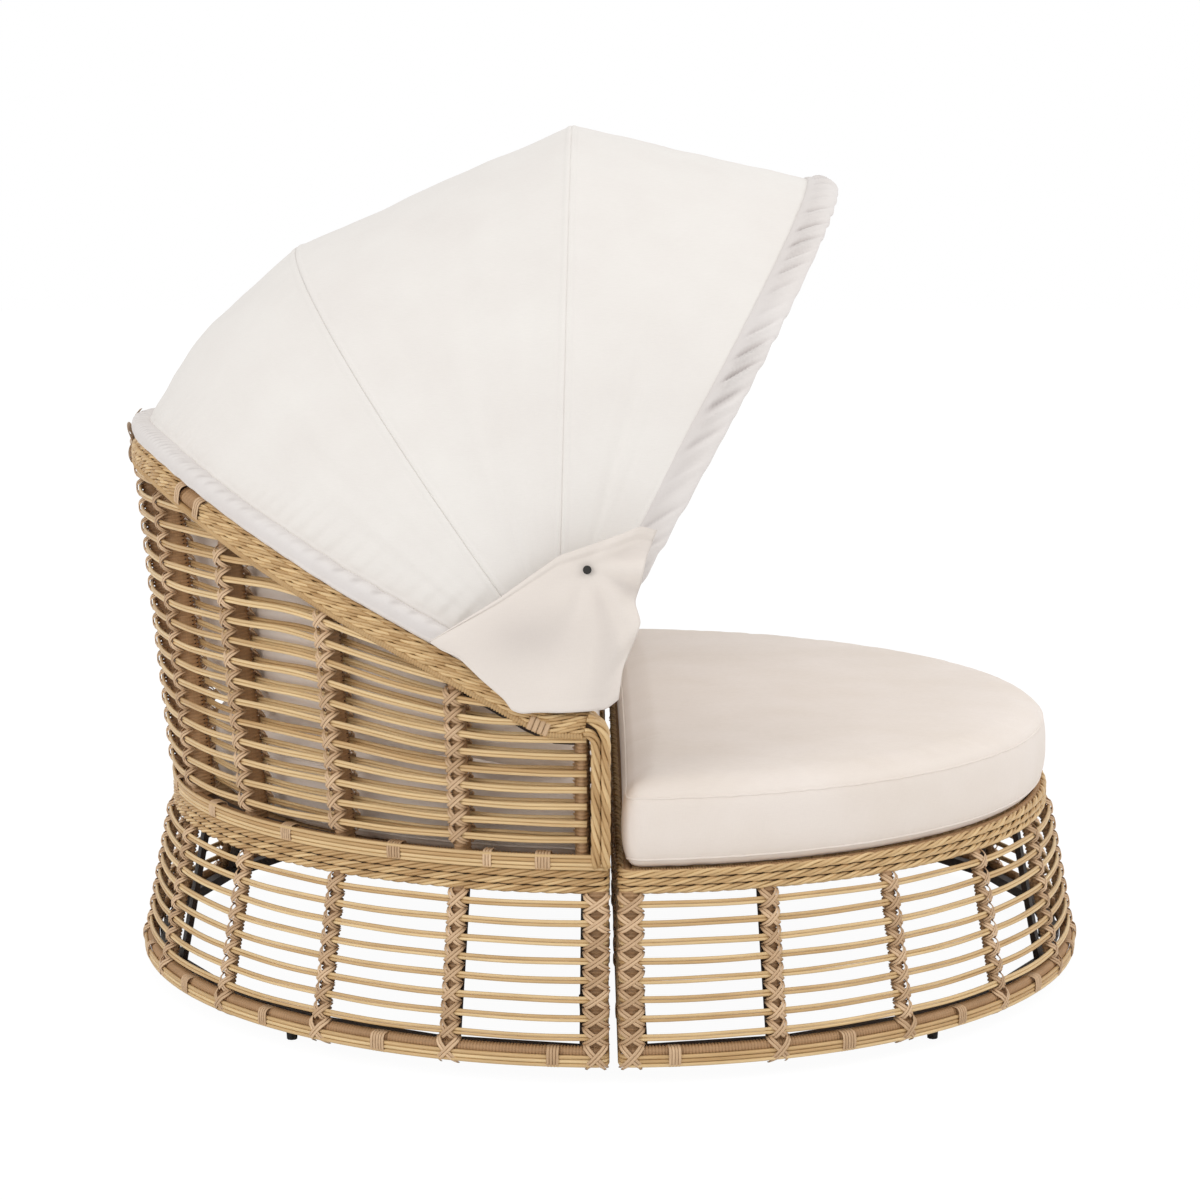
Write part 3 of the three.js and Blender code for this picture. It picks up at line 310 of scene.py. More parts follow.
class Nodes:
    """The node tree of a material or the world, with short calls for its nodes and links."""

    def __init__(self, owner):
        owner.use_nodes = True
        self.owner = owner
        self.tree = owner.node_tree
        self.shader = self.tree.nodes.get("Principled BSDF")

    def feed(self, socket, value):
        if isinstance(value, bpy.types.NodeSocket):
            self.tree.links.new(value, socket)
        else:
            socket.default_value = value

    def node(self, kind, **values):
        node = self.tree.nodes.new(kind)
        for key, value in values.items():
            if hasattr(node, key):
                setattr(node, key, value)
            else:
                self.feed(node.inputs[key.replace("_", " ")], value)
        return node

    def shade(self, **values):
        for key, value in values.items():
            self.feed(self.shader.inputs[key.replace("_", " ")], value)

    def maths(self, operation, a, b):
        node = self.node("ShaderNodeMath", operation=operation)
        self.feed(node.inputs[0], a)
        self.feed(node.inputs[1], b)
        return node.outputs[0]

    def mix(self, factor, a, b, kind="MIX"):
        node = self.node("ShaderNodeMix", data_type="RGBA", blend_type=kind)
        for index, value in ((0, factor), (6, a), (7, b)):
            self.feed(node.inputs[index], value)
        return node.outputs[2]

    def noise(self, vector, scale, detail):
        return self.node("ShaderNodeTexNoise", Vector=vector, Scale=scale, Detail=detail).outputs["Fac"]

    def stretched(self, source, scale):
        return self.node("ShaderNodeMapping", Vector=source, Scale=scale).outputs["Vector"]

    def coordinates(self, kind):
        return self.node("ShaderNodeTexCoord").outputs[kind]

    def stored(self, name):
        return self.node("ShaderNodeAttribute", attribute_name=name).outputs["Fac"]

    def spread(self, value, low, high, to_low=0.0, to_high=1.0):
        ends = {"From_Min": low, "From_Max": high, "To_Min": to_low, "To_Max": to_high}
        return self.node("ShaderNodeMapRange", Value=value, **ends).outputs["Result"]

    def bump(self, height, strength, distance):
        node = self.node("ShaderNodeBump", Strength=strength, Distance=distance, Height=height)
        self.shade(Normal=node.outputs["Normal"])

    def show(self, output, factor, first, second):
        """Sends a mix of two shaders to the output."""
        blend = self.node("ShaderNodeMixShader")
        for socket, value in zip(blend.inputs, (factor, first, second)):
            self.feed(socket, value)
        self.feed(self.tree.nodes[output].inputs["Surface"], blend.outputs[0])


def linear(r, g, b):
    """Colour of sRGB bytes as the shader counts it."""
    parts = [x / 255 for x in (r, g, b)]
    return tuple(x / 12.92 if x <= 0.04045 else ((x + 0.055) / 1.055) ** 2.4 for x in parts) + (1.0,)


def cane_material(name, pale, deep, roughness=0.42, groove=0.5):
    m = Nodes(bpy.data.materials.new(name))
    along = m.coordinates("UV")
    streaks = m.noise(m.stretched(along, (900, 9, 1)), 1.0, 4.0)
    patches = m.noise(m.stretched(along, (30, 11, 1)), 1.0, 2.0)
    mixed = m.maths("ADD", m.maths("MULTIPLY", m.stored("tone"), 0.55), m.maths("MULTIPLY", patches, 0.45))
    body = m.mix(m.spread(mixed, 0.12, 0.86), linear(*pale), linear(*deep))
    shade = m.mix(m.spread(streaks, 0.3, 0.72), (0.80, 0.78, 0.74, 1), (1.06, 1.05, 1.04, 1))
    rough = m.spread(streaks, 0.0, 1.0, roughness - 0.08, roughness + 0.10)
    m.bump(streaks, groove, 0.0006)
    m.shade(Base_Color=m.mix(1.0, body, shade, "MULTIPLY"), Roughness=rough, Specular_IOR_Level=0.45)
    return m.owner


# The colour towards which painted shade in folds, hollows and under things darkens the cloth.
CREASE_SHADE = linear(150, 140, 138)


def cloth_material(name, pale, deep, weave=0.30):
    """Plain-woven outdoor cloth: slubs of both thread directions, a little fuzz, soft patches and the painted
    shade that a piece stores on its points.
    """
    m = Nodes(bpy.data.materials.new(name))
    place = m.coordinates("Object")
    one = m.noise(m.stretched(place, (90, 90, 1500)), 1.0, 2.0)
    other = m.noise(m.stretched(place, (1500, 1500, 90)), 1.0, 2.0)
    threads = m.maths("MULTIPLY", m.maths("ADD", one, other), 0.5)
    soft = m.mix(m.spread(m.noise(place, 6.0, 3.0), 0.3, 0.7), linear(*pale), linear(*deep))
    speck = m.mix(m.spread(threads, 0.3, 0.7), (0.965, 0.96, 0.955, 1), (1.015, 1.015, 1.015, 1))
    # Painted shade: the cloth is darkened towards CREASE_SHADE by the value stored on each point.
    colour = m.mix(m.stored("crease"), m.mix(1.0, soft, speck, "MULTIPLY"), CREASE_SHADE)
    m.bump(threads, weave, 0.0004)
    m.shade(Base_Color=colour, Roughness=0.85, Specular_IOR_Level=0.2, Sheen_Weight=0.15, Sheen_Roughness=0.5)
    return m.owner


def painted_material(name, colour, wear, roughness, metallic=0.0):
    m = Nodes(bpy.data.materials.new(name))
    place = m.coordinates("Object")
    patches = m.noise(place, 14.0, 4.0)
    paint = m.mix(m.spread(patches, 0.35, 0.75), linear(*colour), linear(*wear))
    rough = m.spread(patches, 0.0, 1.0, roughness - 0.06, roughness + 0.12)
    m.bump(m.noise(place, 700.0, 3.0), 0.25, 0.0005)
    m.shade(Base_Color=paint, Roughness=rough, Metallic=metallic)
    return m.owner


def board_material(name):
    """Flat strips woven over and under, as on the deck below the cushions."""
    m = Nodes(bpy.data.materials.new(name))
    place = m.coordinates("Object")
    colours = {"Color1": linear(196, 164, 122), "Color2": linear(168, 134, 94)}
    checker = m.node("ShaderNodeTexChecker", Vector=place, Scale=45.0, **colours)
    streaks = m.noise(m.stretched(place, (20, 400, 20)), 1.0, 3.0)
    shade = m.mix(m.spread(streaks, 0.3, 0.7), (0.82, 0.80, 0.77, 1), (1.05, 1.04, 1.02, 1))
    m.bump(m.maths("ADD", checker.outputs["Fac"], streaks), 0.4, 0.001)
    m.shade(Base_Color=m.mix(1.0, checker.outputs["Color"], shade, "MULTIPLY"), Roughness=0.6)
    return m.owner


CANE = cane_material("cane", (244, 216, 167), (198, 160, 109))
BRAID = cane_material("braided cane", (240, 209, 158), (186, 147, 97))
LASHING = cane_material("lashing strip", (232, 200, 164), (188, 154, 118), 0.5, 0.8)
WRAP = cane_material("wrapped strip", (202, 162, 120), (146, 110, 74), 0.5, 0.8)
# Painted shade: dark strands laid in the grooves between ropes, where shade falls.
PAINTED_GAP_SHADE = cane_material("shadowed core", (82, 58, 38), (58, 40, 26), 0.8)
STEEL = painted_material("painted steel", (44, 32, 25), (60, 46, 38), 0.42, 0.3)
PLASTIC = painted_material("black plastic", (30, 28, 26), (44, 41, 38), 0.5)
CUSHION = cloth_material("cushion cloth", (236, 226, 218), (231, 220, 210))
CANOPY = cloth_material("canopy cloth", (235, 231, 226), (231, 226, 221), 0.25)
# Painted shade: a darker copy of the canopy cloth for the gathered hem and roll.
SHADED_GATHERED = cloth_material("gathered canopy cloth", (230, 225, 222), (225, 219, 215))
COVER = cloth_material("cover cloth", (233, 224, 216), (228, 219, 211), 0.25)
RIBBON = cloth_material("ribbon cloth", (206, 186, 164), (190, 168, 146))
DECK = board_material("deck strips")
FINISHES = {"canes": CANE, "rows": CANE, "wraps": WRAP, "lashings": LASHING, "bindings": LASHING}
FINISHES.update(ropes=BRAID, cores=PAINTED_GAP_SHADE)
for name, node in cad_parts.items():
    is_plastic = "_foot_" in name or "cover_bolt" in name
    node.data.materials.clear()
    node.data.materials.append(DECK if name.endswith("_deck") else PLASTIC if is_plastic else STEEL)

# Canes, strips and ropes

CANE_SHOWN = CANE_RADIUS * 0.86
PAIR_SHIFT = CANE_SHOWN * 0.96
STRIP = 0.0009
STRIP_RELIEF = 0.0014
LASHING_REACH, LASHING_BEND = 1.25, 0.45
# Shares of a rope's radius: the radius of its canes, and how far its plies lie out and to the side
ROPE_CANE, ROPE_OUT, ROPE_SIDE, ROPE_APART = 0.43, 0.58, 0.44, 0.86


def dress(body, place, prefix, slot, nodes, **strands):
    """Builds strands as pieces of a body. The last word of a piece's name gives its material."""
    for name, part in strands.items():
        rides(part.build(f"{prefix}_{name}", place, FINISHES[name.split("_")[-1]]), body, slot, *nodes)


def half_moon(radius, inset, face=SPLIT_FACE, rounding=CORNER_ROUNDING, step=0.012):
    """Evenly walked loop at an inset from a half-moon outline, with the outward direction at each point."""
    arc = radius - inset
    flat = face + inset
    fillet = max(rounding - inset, 0.002)
    fx = flat + fillet
    fy = math.sqrt(max((arc - fillet) ** 2 - fx**2, 1e-8))
    join = math.atan2(fx, fy)
    places, outs = [], []

    def bend(centre, size, start, end):
        count = max(int(abs(end - start) * size / step), 4)
        turn = np.linspace(start, end, count, endpoint=False)
        places.append(np.array(centre) + polar(size, turn, 0.0))
        outs.append(outwards(turn))

    bend((0, 0, 0), arc, join, math.pi - join)
    bend((-fx, fy, 0), fillet, math.pi - join, 1.5 * math.pi)
    count = max(int(2 * fy / step), 4)
    y = np.linspace(fy, -fy, count, endpoint=False)
    places.append(np.stack([np.full(count, -flat), y, np.zeros(count)], 1))
    outs.append(np.tile(FORWARD, (count, 1)))
    bend((-fx, -fy, 0), fillet, 1.5 * math.pi, 2 * math.pi + join)
    return np.concatenate(places), np.concatenate(outs)


def lifted(points, z):
    points = points.copy()
    points[:, 2] = z
    return points


def wrapped(strands, path, wide, tall, pitch, up=UP, closed=False, sides=12):
    """A tube bound in a flat strip: its skin steps in and out once for each turn of the strip."""
    path = np.asarray(path, float)
    run = run_along(path)
    count = max(int(run[-1] / pitch * 3), 6)
    at = np.linspace(0, run[-1], count, endpoint=not closed)
    ups = np.broadcast_to(up, path.shape)
    swell = 1 + STRIP_RELIEF / min(wide, tall) * np.where(np.arange(count) % 3 == 0, -1.0, 0.6)
    strands.add(resampled(path, run, at), wide, tall, resampled(ups, run, at), closed, sides, swell=swell)


def rope(strands, path, outward, radius, pitch, phase, closed=False):
    """Two plies laid round a path, with the same hand in every rope. Each ply is two canes side by side."""
    ahead = unit(np.roll(path, -1, 0) - np.roll(path, 1, 0) if closed else np.gradient(path, axis=0))
    out = unit(outward - (outward * ahead).sum(1, keepdims=True) * ahead)
    side = np.cross(ahead, out)
    run = run_along(path)
    total = run[-1] + (np.linalg.norm(path[0] - path[-1]) if closed else 0)
    turns = max(round(total / pitch), 1) if closed else total / pitch
    cane = radius * ROPE_CANE
    for ply in (0, 1):
        spin = phase - 2 * math.pi * turns * run / total + math.pi * ply
        for apart in (-cane * ROPE_APART, cane * ROPE_APART):
            a = radius * ROPE_OUT * np.cos(spin) - apart * np.sin(spin)
            b = radius * ROPE_SIDE * np.sin(spin) + apart * np.cos(spin)
            strands.add(path + out * a[:, None] + side * b[:, None], cane, up=out, closed=closed, sides=6)


def lashing(strips, centre, across, up, outward, width, height, depth):
    """The crossed double strips that tie a pair of canes to the post behind it."""
    u = np.linspace(-LASHING_REACH, LASHING_REACH, 9)
    fall = np.clip(np.abs(u) - LASHING_BEND, 0, None) / (LASHING_REACH - LASHING_BEND)
    out = 0.0012 - depth * fall**1.6
    lateral = np.clip(u, -1.03, 1.03) * width / 2
    rise = u * height / 2
    tone = random.random()
    for turned, lift in ((1, 0.0), (-1, 0.0013)):
        slope = unit(np.array([-height * turned, width]))
        raised = out + lift * (1 - np.abs(u) / LASHING_REACH)
        for which in (-1, 1):
            a, b = slope * which * 0.0027
            path = centre + across * (lateral + a)[:, None] + up * (rise * turned + b)[:, None]
            path = path + outward * raised[:, None]
            strips.add(path, 0.0026, STRIP, outward, sides=6, tone=tone + 0.1 * which, square=0.8)


def binding(strips, centre, ahead, outward, above, size, count, width=0.0052, sides=16, square=0.6):
    """Turns of strip laid side by side round a rim. The size is the rim's half width and half height."""
    tone = random.random()
    c, s = (boxy(wave, square)[:, None] for wave in circle(sides))
    loop = centre + outward * c * size[0] + above * s * size[1]
    out = unit(outward * c + above * s)
    for i in range(count):
        shift = ahead * (i - (count - 1) / 2) * width
        strips.add(loop + shift, width * 0.47, STRIP, out, True, 6, tone + 0.08 * (i % 2), 0.8)


# Bases

RIM_BOX, RIM_BOX_INSET, RIM_BOX_Z = (0.0150, 0.0165), 0.0145, RIM_TOP_Z - 0.0168


def base_row_z(row):
    return RIM_TOP_Z + (row + 0.5) * ROW_PITCH


def face_point(share):
    """A point of the flat split face, at a share of its width."""
    return np.array([-SPLIT_FACE, (share * 2 - 1) * BASE_TOP_RADIUS, 0.0])


def base_canes():
    canes = Strands()
    for row in range(BASE_ROWS):
        phase = random.random() * 6
        for half in (-1, 1):
            z = base_row_z(row) + half * PAIR_SHIFT
            points, _ = half_moon(base_radius_at(z), SLAT_INSET + CANE_RADIUS, step=0.03)
            sway = 0.0006 * np.sin(np.arange(len(points)) * 0.7 + phase)
            canes.add(lifted(points, z + sway), CANE_SHOWN, closed=True)
    return canes


def base_posts():
    """The wrapped posts of a base, round its arc and along its split face, with their lashings."""
    wraps, strips, posts = Strands(), Strands(), []
    for i in range(BAYS + 1):
        turn = post_turn(i)
        width = CORNER_POST_WIDTH if i in (0, BAYS) else POST_WIDTH
        place = lambda z, t=turn: polar(base_radius_at(z), t, z)
        posts.append((place, along_arc(turn), outwards(turn), width))
    for i in range(FRONT_POSTS):
        foot = face_point((i + 1) / (FRONT_POSTS + 1))
        posts.append((lambda z, p=foot: p + UP * z, SIDEWAYS, FORWARD, POST_WIDTH))
    inset = SLAT_INSET + 2 * CANE_RADIUS
    deep = (POST_DEPTH - inset) / 2
    for place, across, outward, width in posts:
        ends = [place(z) - outward * (inset + deep) for z in (RIM_TOP_Z - 0.010, BAND_BOTTOM_Z + 0.004)]
        wrapped(wraps, ends, width * 0.40, deep, 0.0065, outward)
        for row in range(BASE_ROWS):
            z = base_row_z(row)
            up = unit(place(z + 0.01) - place(z))
            lashing(strips, place(z), across, up, outward, width * 0.86, ROW_PITCH * 0.86, inset + deep)
    return {"post_wraps": wraps, "lashings": strips}


def bottom_rim():
    """Three canes and a wrapped tube, lashed at the posts and bound between them."""
    canes, wraps, strips = Strands(), Strands(), Strands()
    points, _ = half_moon(BASE_BOTTOM_RADIUS, CANE_RADIUS + 0.0008, step=0.03)
    for k in range(3):
        z = FOOT_REVEAL + CANE_RADIUS + 0.0006 + k * 2 * CANE_RADIUS
        canes.add(points + UP * z, CANE_RADIUS, closed=True)
    points, _ = half_moon(BASE_BOTTOM_RADIUS, 0.0185, step=0.02)
    wrapped(wraps, points + UP * (RIM_TOP_Z - 0.0112), 0.0105, 0.0108, 0.0055, closed=True)
    for i in range(BAYS + 1):
        turn = post_turn(i)
        centre = polar(BASE_BOTTOM_RADIUS - 0.001, turn, RIM_TOP_Z - 0.016)
        lashing(strips, centre, along_arc(turn), UP, outwards(turn), 0.034, 0.036, 0.020)
        if i < BAYS:
            turn += BAY_TURN * (0.28 if i == 0 else 0.72 if i == BAYS - 1 else 0.5)
            centre = polar(BASE_BOTTOM_RADIUS - RIM_BOX_INSET, turn, RIM_BOX_Z)
            binding(strips, centre, along_arc(turn), outwards(turn), UP, RIM_BOX, 4 + i % 2)
    for i in range(FRONT_POSTS + 1):
        centre = face_point((i + 0.5) / (FRONT_POSTS + 1)) - FORWARD * RIM_BOX_INSET + UP * RIM_BOX_Z
        binding(strips, centre, SIDEWAYS, FORWARD, UP, RIM_BOX, 5)
    return {"rim_canes": canes, "rim_wraps": wraps, "rim_lashings": strips}


def top_band():
    """Three ropes, all laid the same way, on wrapped tubes, with dark tubes in the grooves between them as
    painted shade.
    """
    ropes, wraps, cores = Strands(), Strands(), Strands()
    rows = 3
    radius = BAND_HEIGHT / rows / 2
    points, out = half_moon(BASE_TOP_RADIUS, radius, step=0.009)
    for row in range(rows):
        path = points + UP * (BAND_BOTTOM_Z + radius * (2 * row + 1))
        rope(ropes, path, out, radius * 1.03, 0.096, row * 1.7, closed=True)
    points, _ = half_moon(BASE_TOP_RADIUS, 0.0165, step=0.02)
    for drop, pitch, sides in ((0.0100, 0.0050, 10), (0.0285, 0.0070, 8)):
        wrapped(wraps, points + UP * (BASE_TOP_Z - drop), 0.0086, 0.0095, pitch, closed=True, sides=sides)
    # Painted shade: dark tubes in the grooves between the rows of rope.
    points, _ = half_moon(BASE_TOP_RADIUS, radius * 1.25, step=0.02)
    for row in (1, 2):
        cores.add(points + UP * (BAND_BOTTOM_Z + radius * 2 * row), radius * 0.40, closed=True, sides=6)
    return {"band_ropes": ropes, "band_wraps": wraps, "band_cores": cores}


def dress_base(prefix, body, place, ends):
    weaves = [f"{prefix}_base_weave_{name}" for name in ("split", *ends)]
    posts, rim, band = base_posts(), bottom_rim(), top_band()
    dress(body, place, prefix, "cane", weaves, cane_rows=base_canes())
    dress(body, place, prefix, "lashed_cane", weaves, **posts)
    dress(body, place, prefix, "cane", [f"{prefix}_bottom_rim"], **rim)
    dress(body, place, prefix, "braid", [f"{prefix}_top_band"], **band)


dress_base("seat", "seat_half", seat_place, ("near", "back", "far"))
dress_base("ottoman", "ottoman", ottoman_place, ("far", "end", "near"))

# Back wall

STILE_X = SPLIT_FACE + ARM_BRAID_WIDTH + 0.0003 + STILE_WIDTH / 2
STILE_TURN = math.asin(STILE_X / (BASE_TOP_RADIUS - WALL_DEPTH))
WALL_POSTS = [STILE_TURN] + [post_turn(i) for i in range(1, BAYS)] + [math.pi - STILE_TURN]
MOST_ROWS = 20
RIM_BINDINGS = (math.radians(53.0), math.radians(57.6))
ARM_BINDING = math.radians(7.6)
RIM_ROPE_RADIUS = 0.0066
# Where the ropes of the rim lie, as shares of its half width and half height, from outside over the top
RIM_ROPES = [(1, -0.62), (1, 0.0), (0.97, 0.62), (0.62, 1), (0.22, 1)]
RIM_ROPES += [(-w, h) for w, h in reversed(RIM_ROPES)]


def wall_row_z(row, turn):
    return BASE_TOP_Z + WALL_RAIL_HEIGHT + FIRST_ROW_RISE + row * wall_pitch_at(turn)


def wall_canes(inset, shift, start_turn):
    """Rows of paired canes, each as long as it stays under the sloping rim."""
    canes = Strands()
    turn = np.linspace(start_turn, math.pi - start_turn, 170)
    for row in range(MOST_ROWS):
        rows_z = wall_row_z(row, turn) + shift
        inside = np.flatnonzero(rows_z < rim_under_at(turn) + 0.004)
        if len(inside) == 0 or inside[-1] - inside[0] < 4:
            continue
        span = slice(inside[0], inside[-1] + 1)
        sway = 0.0007 * np.sin(turn[span] * 23 + random.random() * 6)
        for half in (-1, 1):
            z = rows_z[span] + half * PAIR_SHIFT + sway
            path = polar(wall_radius_at(z) - inset - CANE_RADIUS, turn[span], z)
            canes.add(path, CANE_SHOWN, up=outwards(turn[span]))
    return canes


def wall_posts():
    """The wrapped posts and end stiles, with the lashings of the outer and the inner lattice."""
    wraps, strips, inner = Strands(), Strands(), Strands()
    inset = SLAT_INSET + 2 * CANE_RADIUS
    inner_inset = WALL_DEPTH - 0.012
    middle = (inset + inner_inset) / 2
    for turn in WALL_POSTS:
        is_stile = turn in (WALL_POSTS[0], WALL_POSTS[-1])
        wide = (STILE_WIDTH if is_stile else POST_WIDTH * 0.78) / 2
        across, outward = along_arc(turn), outwards(turn)
        pitch, rim_z = wall_pitch_at(turn), rim_under_at(turn)
        ends = [polar(wall_radius_at(z) - middle, turn, z) for z in (BASE_TOP_Z + 0.002, rim_z + 0.006)]
        wrapped(wraps, ends, wide, (inner_inset - inset) / 2, 0.0070, outward, sides=14)
        for row in range(MOST_ROWS):
            z = wall_row_z(row, turn)
            if z + 0.012 > rim_z:
                break
            radius = wall_radius_at(z)
            up = unit(polar(wall_radius_at(z + 0.01), turn, z + 0.01) - polar(radius, turn, z))
            if not is_stile:
                size = (POST_WIDTH * 0.86, pitch * 0.86, 0.018)
                lashing(strips, polar(radius, turn, z), across, up, outward, *size)
            place = polar(radius - WALL_DEPTH + 0.003, turn, z - 0.004)
            lashing(inner, place, -across, up, -outward, POST_WIDTH * 0.8, pitch * 0.8, 0.014)
    return wraps, strips, inner


def wall_rail():
    """Four canes and a wrapped tube on the base, bound between the posts."""
    canes, wraps, strips = Strands(), Strands(), Strands()
    start = math.asin(SPLIT_FACE / BASE_TOP_RADIUS) + 0.004
    turn = np.linspace(start, math.pi - start, 150)
    for k in range(4):
        z = BASE_TOP_Z + CANE_RADIUS + k * 2 * CANE_RADIUS
        canes.add(polar(wall_radius_at(z) - CANE_RADIUS - 0.0006, turn, z), CANE_RADIUS, up=outwards(turn))
    z = BASE_TOP_Z + 0.0125
    tube = polar(wall_radius_at(z) - 0.0165, turn, z)
    wrapped(wraps, tube, 0.0120, 0.0085, 0.0055, outwards(turn), sides=10)
    for i in range(BAYS):
        for share, count in ((0.5, 5),) if 0 < i < BAYS - 1 else ((0.22, 3), (0.62, 5)):
            at = post_turn(i) + BAY_TURN * (share if i else 1 - share)
            centre = polar(BASE_TOP_RADIUS - 0.0116, at, BASE_TOP_Z + 0.0144)
            binding(strips, centre, along_arc(at), outwards(at), UP, (0.0130, 0.0150), count)
    return {"rail_canes": canes, "rail_wraps": wraps, "rail_bindings": strips}


def rim_frames(step=0.008):
    """Place, outward and upward direction and height at each step of the braid, from foot to foot."""
    rows = []
    leg_bottom = BASE_TOP_Z + WALL_RAIL_HEIGHT * 0.2
    bend_z = float(rim_top_at(0.0)) - RIM_BRAID_HEIGHT / 2 - ARM_BEND

    def leg(x, z, tilt, height):
        radius = middle_radius_at(z)
        above = np.array([math.cos(tilt), 0, math.sin(tilt)])
        rows.append((polar(radius, math.asin(x / radius), z), -SIDEWAYS, above, height))

    for z in np.arange(leg_bottom, bend_z, step):
        leg(ARM_LEG_X, z, 0.0, ARM_BRAID_WIDTH)
    for share in np.arange(1, 7) / 7:
        tilt = share * math.pi / 2
        height = ARM_BRAID_WIDTH + (RIM_BRAID_HEIGHT - ARM_BRAID_WIDTH) * share
        leg(BEND_X - ARM_BEND * math.cos(tilt), bend_z + ARM_BEND * math.sin(tilt), tilt, height)
    front = rows[::-1]
    for turn in np.arange(BEND_TURN, math.pi - BEND_TURN, step / 0.87):
        z = rim_top_at(turn) - RIM_BRAID_HEIGHT / 2
        rows.append((polar(middle_radius_at(z), turn, z), outwards(turn), UP, RIM_BRAID_HEIGHT))
    flip = np.array([1, -1, 1])
    rows += [(place * flip, outward * flip, above, height) for place, outward, above, height in front]
    return [np.array(column) for column in zip(*rows)]


def runs(mask):
    """The index runs over which a mask stays true."""
    cuts = np.flatnonzero(np.diff(mask.astype(int))) + 1
    return [part for part in np.split(np.arange(len(mask)), cuts) if mask[part[0]]]


def rim_bindings(strips, place, outward, upward):
    """Strips round the whole rim beside each bare stretch, and round its lower edge near the arms."""
    turn = turn_of(place)
    whole = ((WALL_DEPTH / 2 + 0.0012, RIM_BRAID_HEIGHT / 2 + 0.0014), 0.0, 0.0)
    lower = ((0.0125, 0.0125), WALL_DEPTH / 2 - 0.0112, -0.0092)
    bound = [(at, 3, 0.0062, whole) for at in RIM_BINDINGS] + [(ARM_BINDING, 4, 0.0090, lower)]
    for at, count, width, (size, out_shift, up_shift) in bound:
        for target in (at, math.pi - at):
            i = int(np.argmin(np.abs(turn - target)))
            ahead = unit(place[i + 1] - place[i - 1])
            above = unit(np.cross(np.cross(ahead, upward[i]), ahead))
            centre = place[i] + outward[i] * out_shift + above * up_shift
            binding(strips, centre, ahead, outward[i], above, size, count, width, 28, 0.5)


def rim_braid():
    """Ropes laid side by side over the rim's outer face, top and inner face, and down the arms.
    A wrapped tube shows where the ropes leave it bare, and another one edges the rim below."""
    ropes, wraps, strips, cores = Strands(), Strands(), Strands(), Strands()
    place, outward, upward, height = rim_frames()
    near = from_arm(turn_of(place))
    bare = (near > RIM_BINDINGS[0]) & (near < RIM_BINDINGS[1])
    leg = near < BEND_TURN * 0.8
    for k, (w, h) in enumerate(RIM_ROPES):
        across = w * (WALL_DEPTH / 2 - RIM_ROPE_RADIUS)
        rise = h * (height / 2 - RIM_ROPE_RADIUS)
        path = place + outward * across + upward * rise[:, None]
        face = unit(outward * w + upward * h * 1.2)
        for part in runs(~bare & ~leg if k < 3 else ~bare):
            rope(ropes, path[part], face[part], RIM_ROPE_RADIUS * 1.05, 0.086, k * 1.7)
    for part in runs(near < BEND_TURN):
        for edge in (-1, 1):
            rise = edge * (height[part] / 2 - 0.0072)
            path = place[part] + outward[part] * (WALL_DEPTH / 2 - 0.0066) + upward[part] * rise[:, None]
            rope(ropes, path, outward[part], 0.0088, 0.104, 0.8 * edge)
    for part in runs(bare):
        wrapped(wraps, place[part], 0.0275, 0.0170, 0.0080, upward[part], sides=16)
    # Painted shade: a dark tube under the ropes darkens the grooves between them.
    sink = RIM_ROPE_RADIUS * 1.25
    for part in runs(~bare):
        size = (WALL_DEPTH / 2 - sink, RIM_BRAID_HEIGHT / 2 - sink)
        cores.add(place[part], *size, upward[part], sides=16, square=0.5)
    rim_bindings(strips, place, outward, upward)
    edge = place + outward * (WALL_DEPTH / 2 - 0.0068) - upward * (height / 2 - 0.0016)[:, None]
    wrapped(ropes, edge[~leg], 0.0062, 0.0062, 0.0050, upward[~leg], sides=8)
    return {"ropes": ropes, "wraps": wraps, "cores": cores, "bindings": strips}


def dress_wall():
    seat, ends = ("seat_half", seat_place), ("near", "back", "far")
    outer, inner = ([f"back_{face}_weave_{end}" for end in ends] for face in ("outer", "inner"))
    outer_canes = wall_canes(SLAT_INSET, 0.0, BEND_TURN * 0.82)
    inner_canes = wall_canes(WALL_DEPTH - 0.0115, -0.004, STILE_TURN)
    wraps, outer_lashings, inner_lashings = wall_posts()
    rail, rim = wall_rail(), rim_braid()
    dress(*seat, "wall", "cane", outer, outer_canes=outer_canes)
    dress(*seat, "wall", "cane", inner, inner_canes=inner_canes)
    dress(*seat, "wall", "lashed_cane", outer + inner, post_wraps=wraps)
    dress(*seat, "wall", "lashed_cane", outer, outer_lashings=outer_lashings)
    dress(*seat, "wall", "lashed_cane", inner, inner_lashings=inner_lashings)
    dress(*seat, "wall", "cane", ["back_wall_rail"], **rail)
    dress(*seat, "rim", "braid", ["back_rim_braid"], **rim)


dress_wall()

# Cloth

CLOTH = 0.0012
# Angle, reach and half width of each bow
REAR_BOW = (math.radians(126.3), 0.830, 0.80551)
MIDDLE_BOW = (math.radians(88.8), 0.892, 0.78751)
FRONT_BOW = (math.radians(59.7), 0.917, 0.76951)
SWING = math.radians(81)
HEM_TILT = math.radians(-15.75)
ROLL_END = math.radians(13.5)
ROLL_FLAT = 0.0156
ROLL_LIFT = 0.0011 + ROLL_FLAT
# How far the lines of a sewn fold lie from a panel's edge
FOLD_LINES = np.array([0, 0.0025, 0.006, 0.0095, 0.012, 0.0145, 0.022, 0.034])


def pleats(along, pitch, drift):
    """Soft slanting folds of uneven pitch and depth, from about -1 to 1, steeper on one side."""
    phase = 2 * math.pi * along / pitch
    phase = phase + 1.9 * np.sin(along / 0.097 + drift) + 0.9 * np.sin(along / 0.041 + 2 * drift)
    depth = 0.65 + 0.35 * np.sin(along / 0.063 + 3 * drift)
    return depth * np.sin(phase + 0.55 * np.sin(phase))


